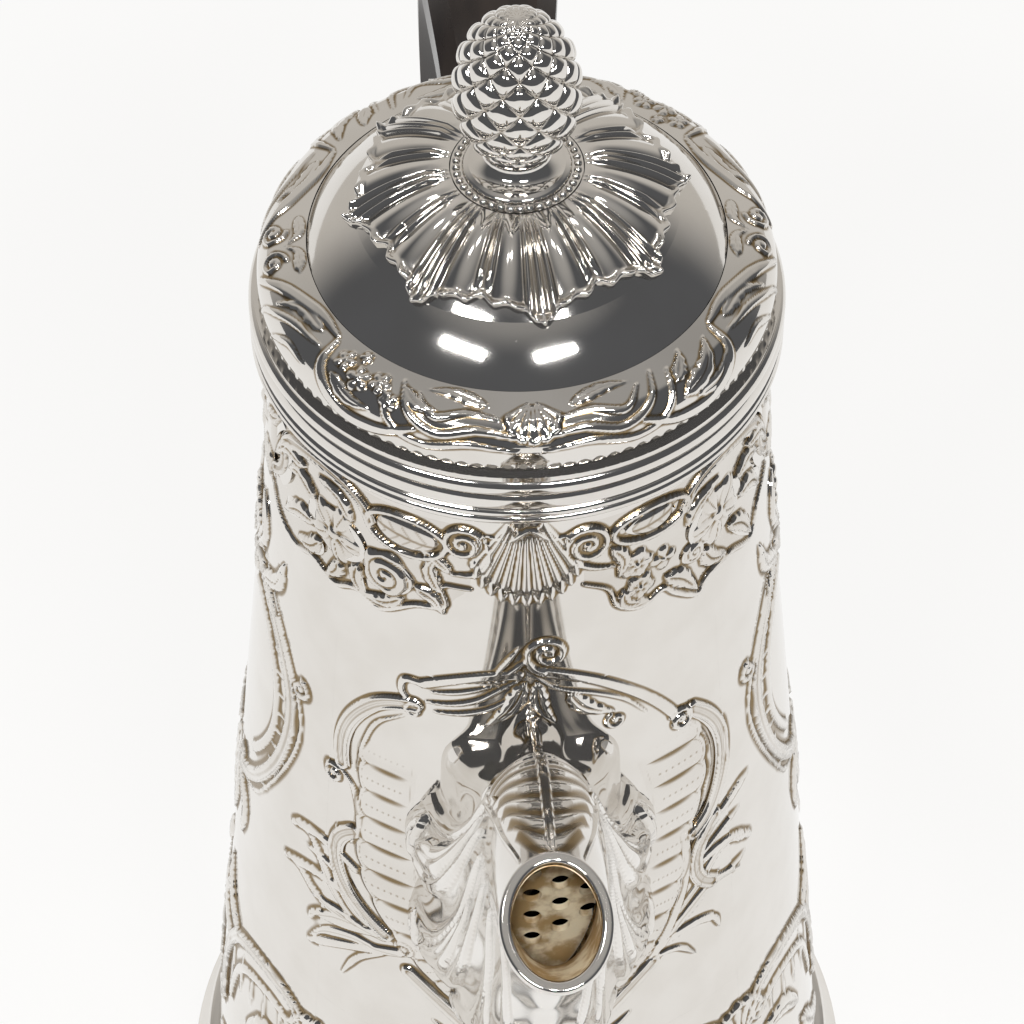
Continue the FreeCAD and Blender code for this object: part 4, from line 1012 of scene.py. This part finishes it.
def place_spout(across, up):
    """The spout's skin, from where it leaves the body up to its lip."""
    angle = 2 * math.pi * across - math.pi
    trial = np.linspace(0, 1, 240)
    grid_angle, grid_share = np.meshgrid(angle[0], trial)
    x, y, z = spout_place(grid_angle, grid_share, 0.0)
    outside = np.hypot(x, y) > body_radius(z) + 0.02
    first = trial[len(trial) - 1 - np.argmax(~outside[::-1], axis=0)]
    share = first[None, :] + (1 - first[None, :]) * up
    r = Relief(np.degrees(angle) / DEGREES_PER_STEP, up * SPOUT_STEPS)
    spout_ornament(r)
    sunk = np.maximum(0.35 * r.recess(), r.stain_and_shade)
    fade = np.clip((1 - up) / 0.05, 0, 1)
    scallop = np.abs(np.cos(ROOT_LOBES / 2 * angle)) ** 0.5
    hem = 1.1 * scallop * np.exp(-(up / 0.045) ** 2)
    return spout_place(angle, share, SPOUT_SKIN + np.maximum(r.height * fade, hem)), sunk


mount(sheet("chased_spout", 380, 240, place_spout, closed=True), "pot")

STAINED = stained_material("stained_spout")
for name in ("spout_left_half", "spout_right_half"):
    paint(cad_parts[name], STAINED)
paint(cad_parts["body_wall"], stained_material("stained_strainer", STRAINER))


# Stage

FLOOR_SIZE = 6.0
FLOOR_GLOW = 0.85


def pale_floor_material():
    """A matt pale floor, which the camera and the silver see as nearly white; it keeps a soft shadow."""
    made, tree, shader = new_material("pale_floor")
    shader.inputs["Base Color"].default_value = FLOOR_PAINT
    shader.inputs["Roughness"].default_value = 0.6
    shader.inputs["Specular IOR Level"].default_value = 0.2
    surface = Sock(tree, shader.outputs[0])
    camera_ray, glossy_ray, through_ray = (
        surface.node("ShaderNodeLightPath", output=name)
        for name in ("Is Camera Ray", "Is Glossy Ray", "Is Transmission Ray")
    )
    seen = camera_ray.most(glossy_ray).most(through_ray)
    white = surface.node("ShaderNodeEmission", {"Color": FLOOR_WHITE, "Strength": 1.0})
    blend = surface.node("ShaderNodeMixShader", {0: seen * FLOOR_GLOW, 1: surface, 2: white})
    feed(tree, blend, tree.nodes["Material Output"].inputs["Surface"])
    return made


bpy.ops.object.select_all(action="DESELECT")
bpy.ops.mesh.primitive_plane_add(size=FLOOR_SIZE, location=(0, 0, 0))
floor = bpy.context.object
floor.name = "floor"
bpy.ops.object.transform_apply(location=True, rotation=True, scale=True)
paint(floor, pale_floor_material())


def world_light():
    """A dim room with a pale wall behind and a lighter ceiling, seen only in reflections and as fill."""
    world = bpy.data.worlds.new("room")
    bpy.context.scene.world = world
    world.use_nodes = True
    tree = world.node_tree
    shader = tree.nodes["Background"]
    place = Sock(tree, tree.nodes.new("ShaderNodeTexCoord").outputs["Generated"])
    depth, height = (place.node("ShaderNodeSeparateXYZ", {0: place}, output=k) for k in (1, 2))
    room = height.smooth(0.7, 1.0).mix(DIM_ROOM, CEILING)
    wall = depth.smooth(0.2, 0.75)
    feed(tree, wall.mix(room, PALE_WALL), shader.inputs["Color"])
    shader.inputs["Strength"].default_value = 1.0


world_light()


def set_up(obj, place, aim):
    """Put a lamp or the camera in its place, looking at its aim."""
    bpy.context.scene.collection.objects.link(obj)
    obj.location = place
    obj.rotation_euler = (Vector(aim) - Vector(place)).to_track_quat("-Z", "Y").to_euler()


def soft_box(name, place, aim, size, power):
    data = bpy.data.lights.new(name, "AREA")
    data.shape = "RECTANGLE"
    data.size, data.size_y = size
    data.energy = power
    set_up(bpy.data.objects.new(name, data), place, aim)


LID_MIDDLE = (0, 0, 0.23)
soft_box("window_left", (-0.852, -1.216, 1.685), LID_MIDDLE, (0.70, 0.17), 16)
soft_box("window_right", (0.508, -1.395, 1.685), LID_MIDDLE, (0.62, 0.17), 16)
for k, x in enumerate((-0.34, 0.32)):
    soft_box(f"ceiling_lamp_{k}", (x, 0, 2.2), (x, 0, 0), (0.26, 0.12), 2.5)


def spout_lamp():
    """A narrow beam down the spout's throat, from beside the camera."""
    data = bpy.data.lights.new("spout_lamp", "SPOT")
    data.energy = 60
    data.spot_size = math.radians(5.0)
    data.spot_blend = 0.5
    data.shadow_soft_size = 0.03
    set_up(bpy.data.objects.new("spout_lamp", data), (-0.05, -0.813, 1.28), (0, -0.101, 0.192))


spout_lamp()


# Camera

TARGET = Vector((0, 0, 0.212))
ELEVATION = math.radians(47.3)
AZIMUTH = math.radians(-3.0)
DISTANCE = 0.5793
PICTURE = 1024
SHIFT_X, SHIFT_Y = -5, -196
camera_data = bpy.data.cameras.new("camera")
camera = bpy.data.objects.new("camera", camera_data)
set_up(camera, TARGET + DISTANCE * Vector((
    math.sin(AZIMUTH) * math.cos(ELEVATION), -math.cos(AZIMUTH) * math.cos(ELEVATION), math.sin(ELEVATION)
)), TARGET)
camera_data.sensor_width = 36.0
camera_data.lens = 132.3
camera_data.shift_x = SHIFT_X / PICTURE
camera_data.shift_y = SHIFT_Y / PICTURE
camera_data.dof.use_dof = False
bpy.context.scene.camera = camera
bpy.context.scene.view_settings.view_transform = "Standard"
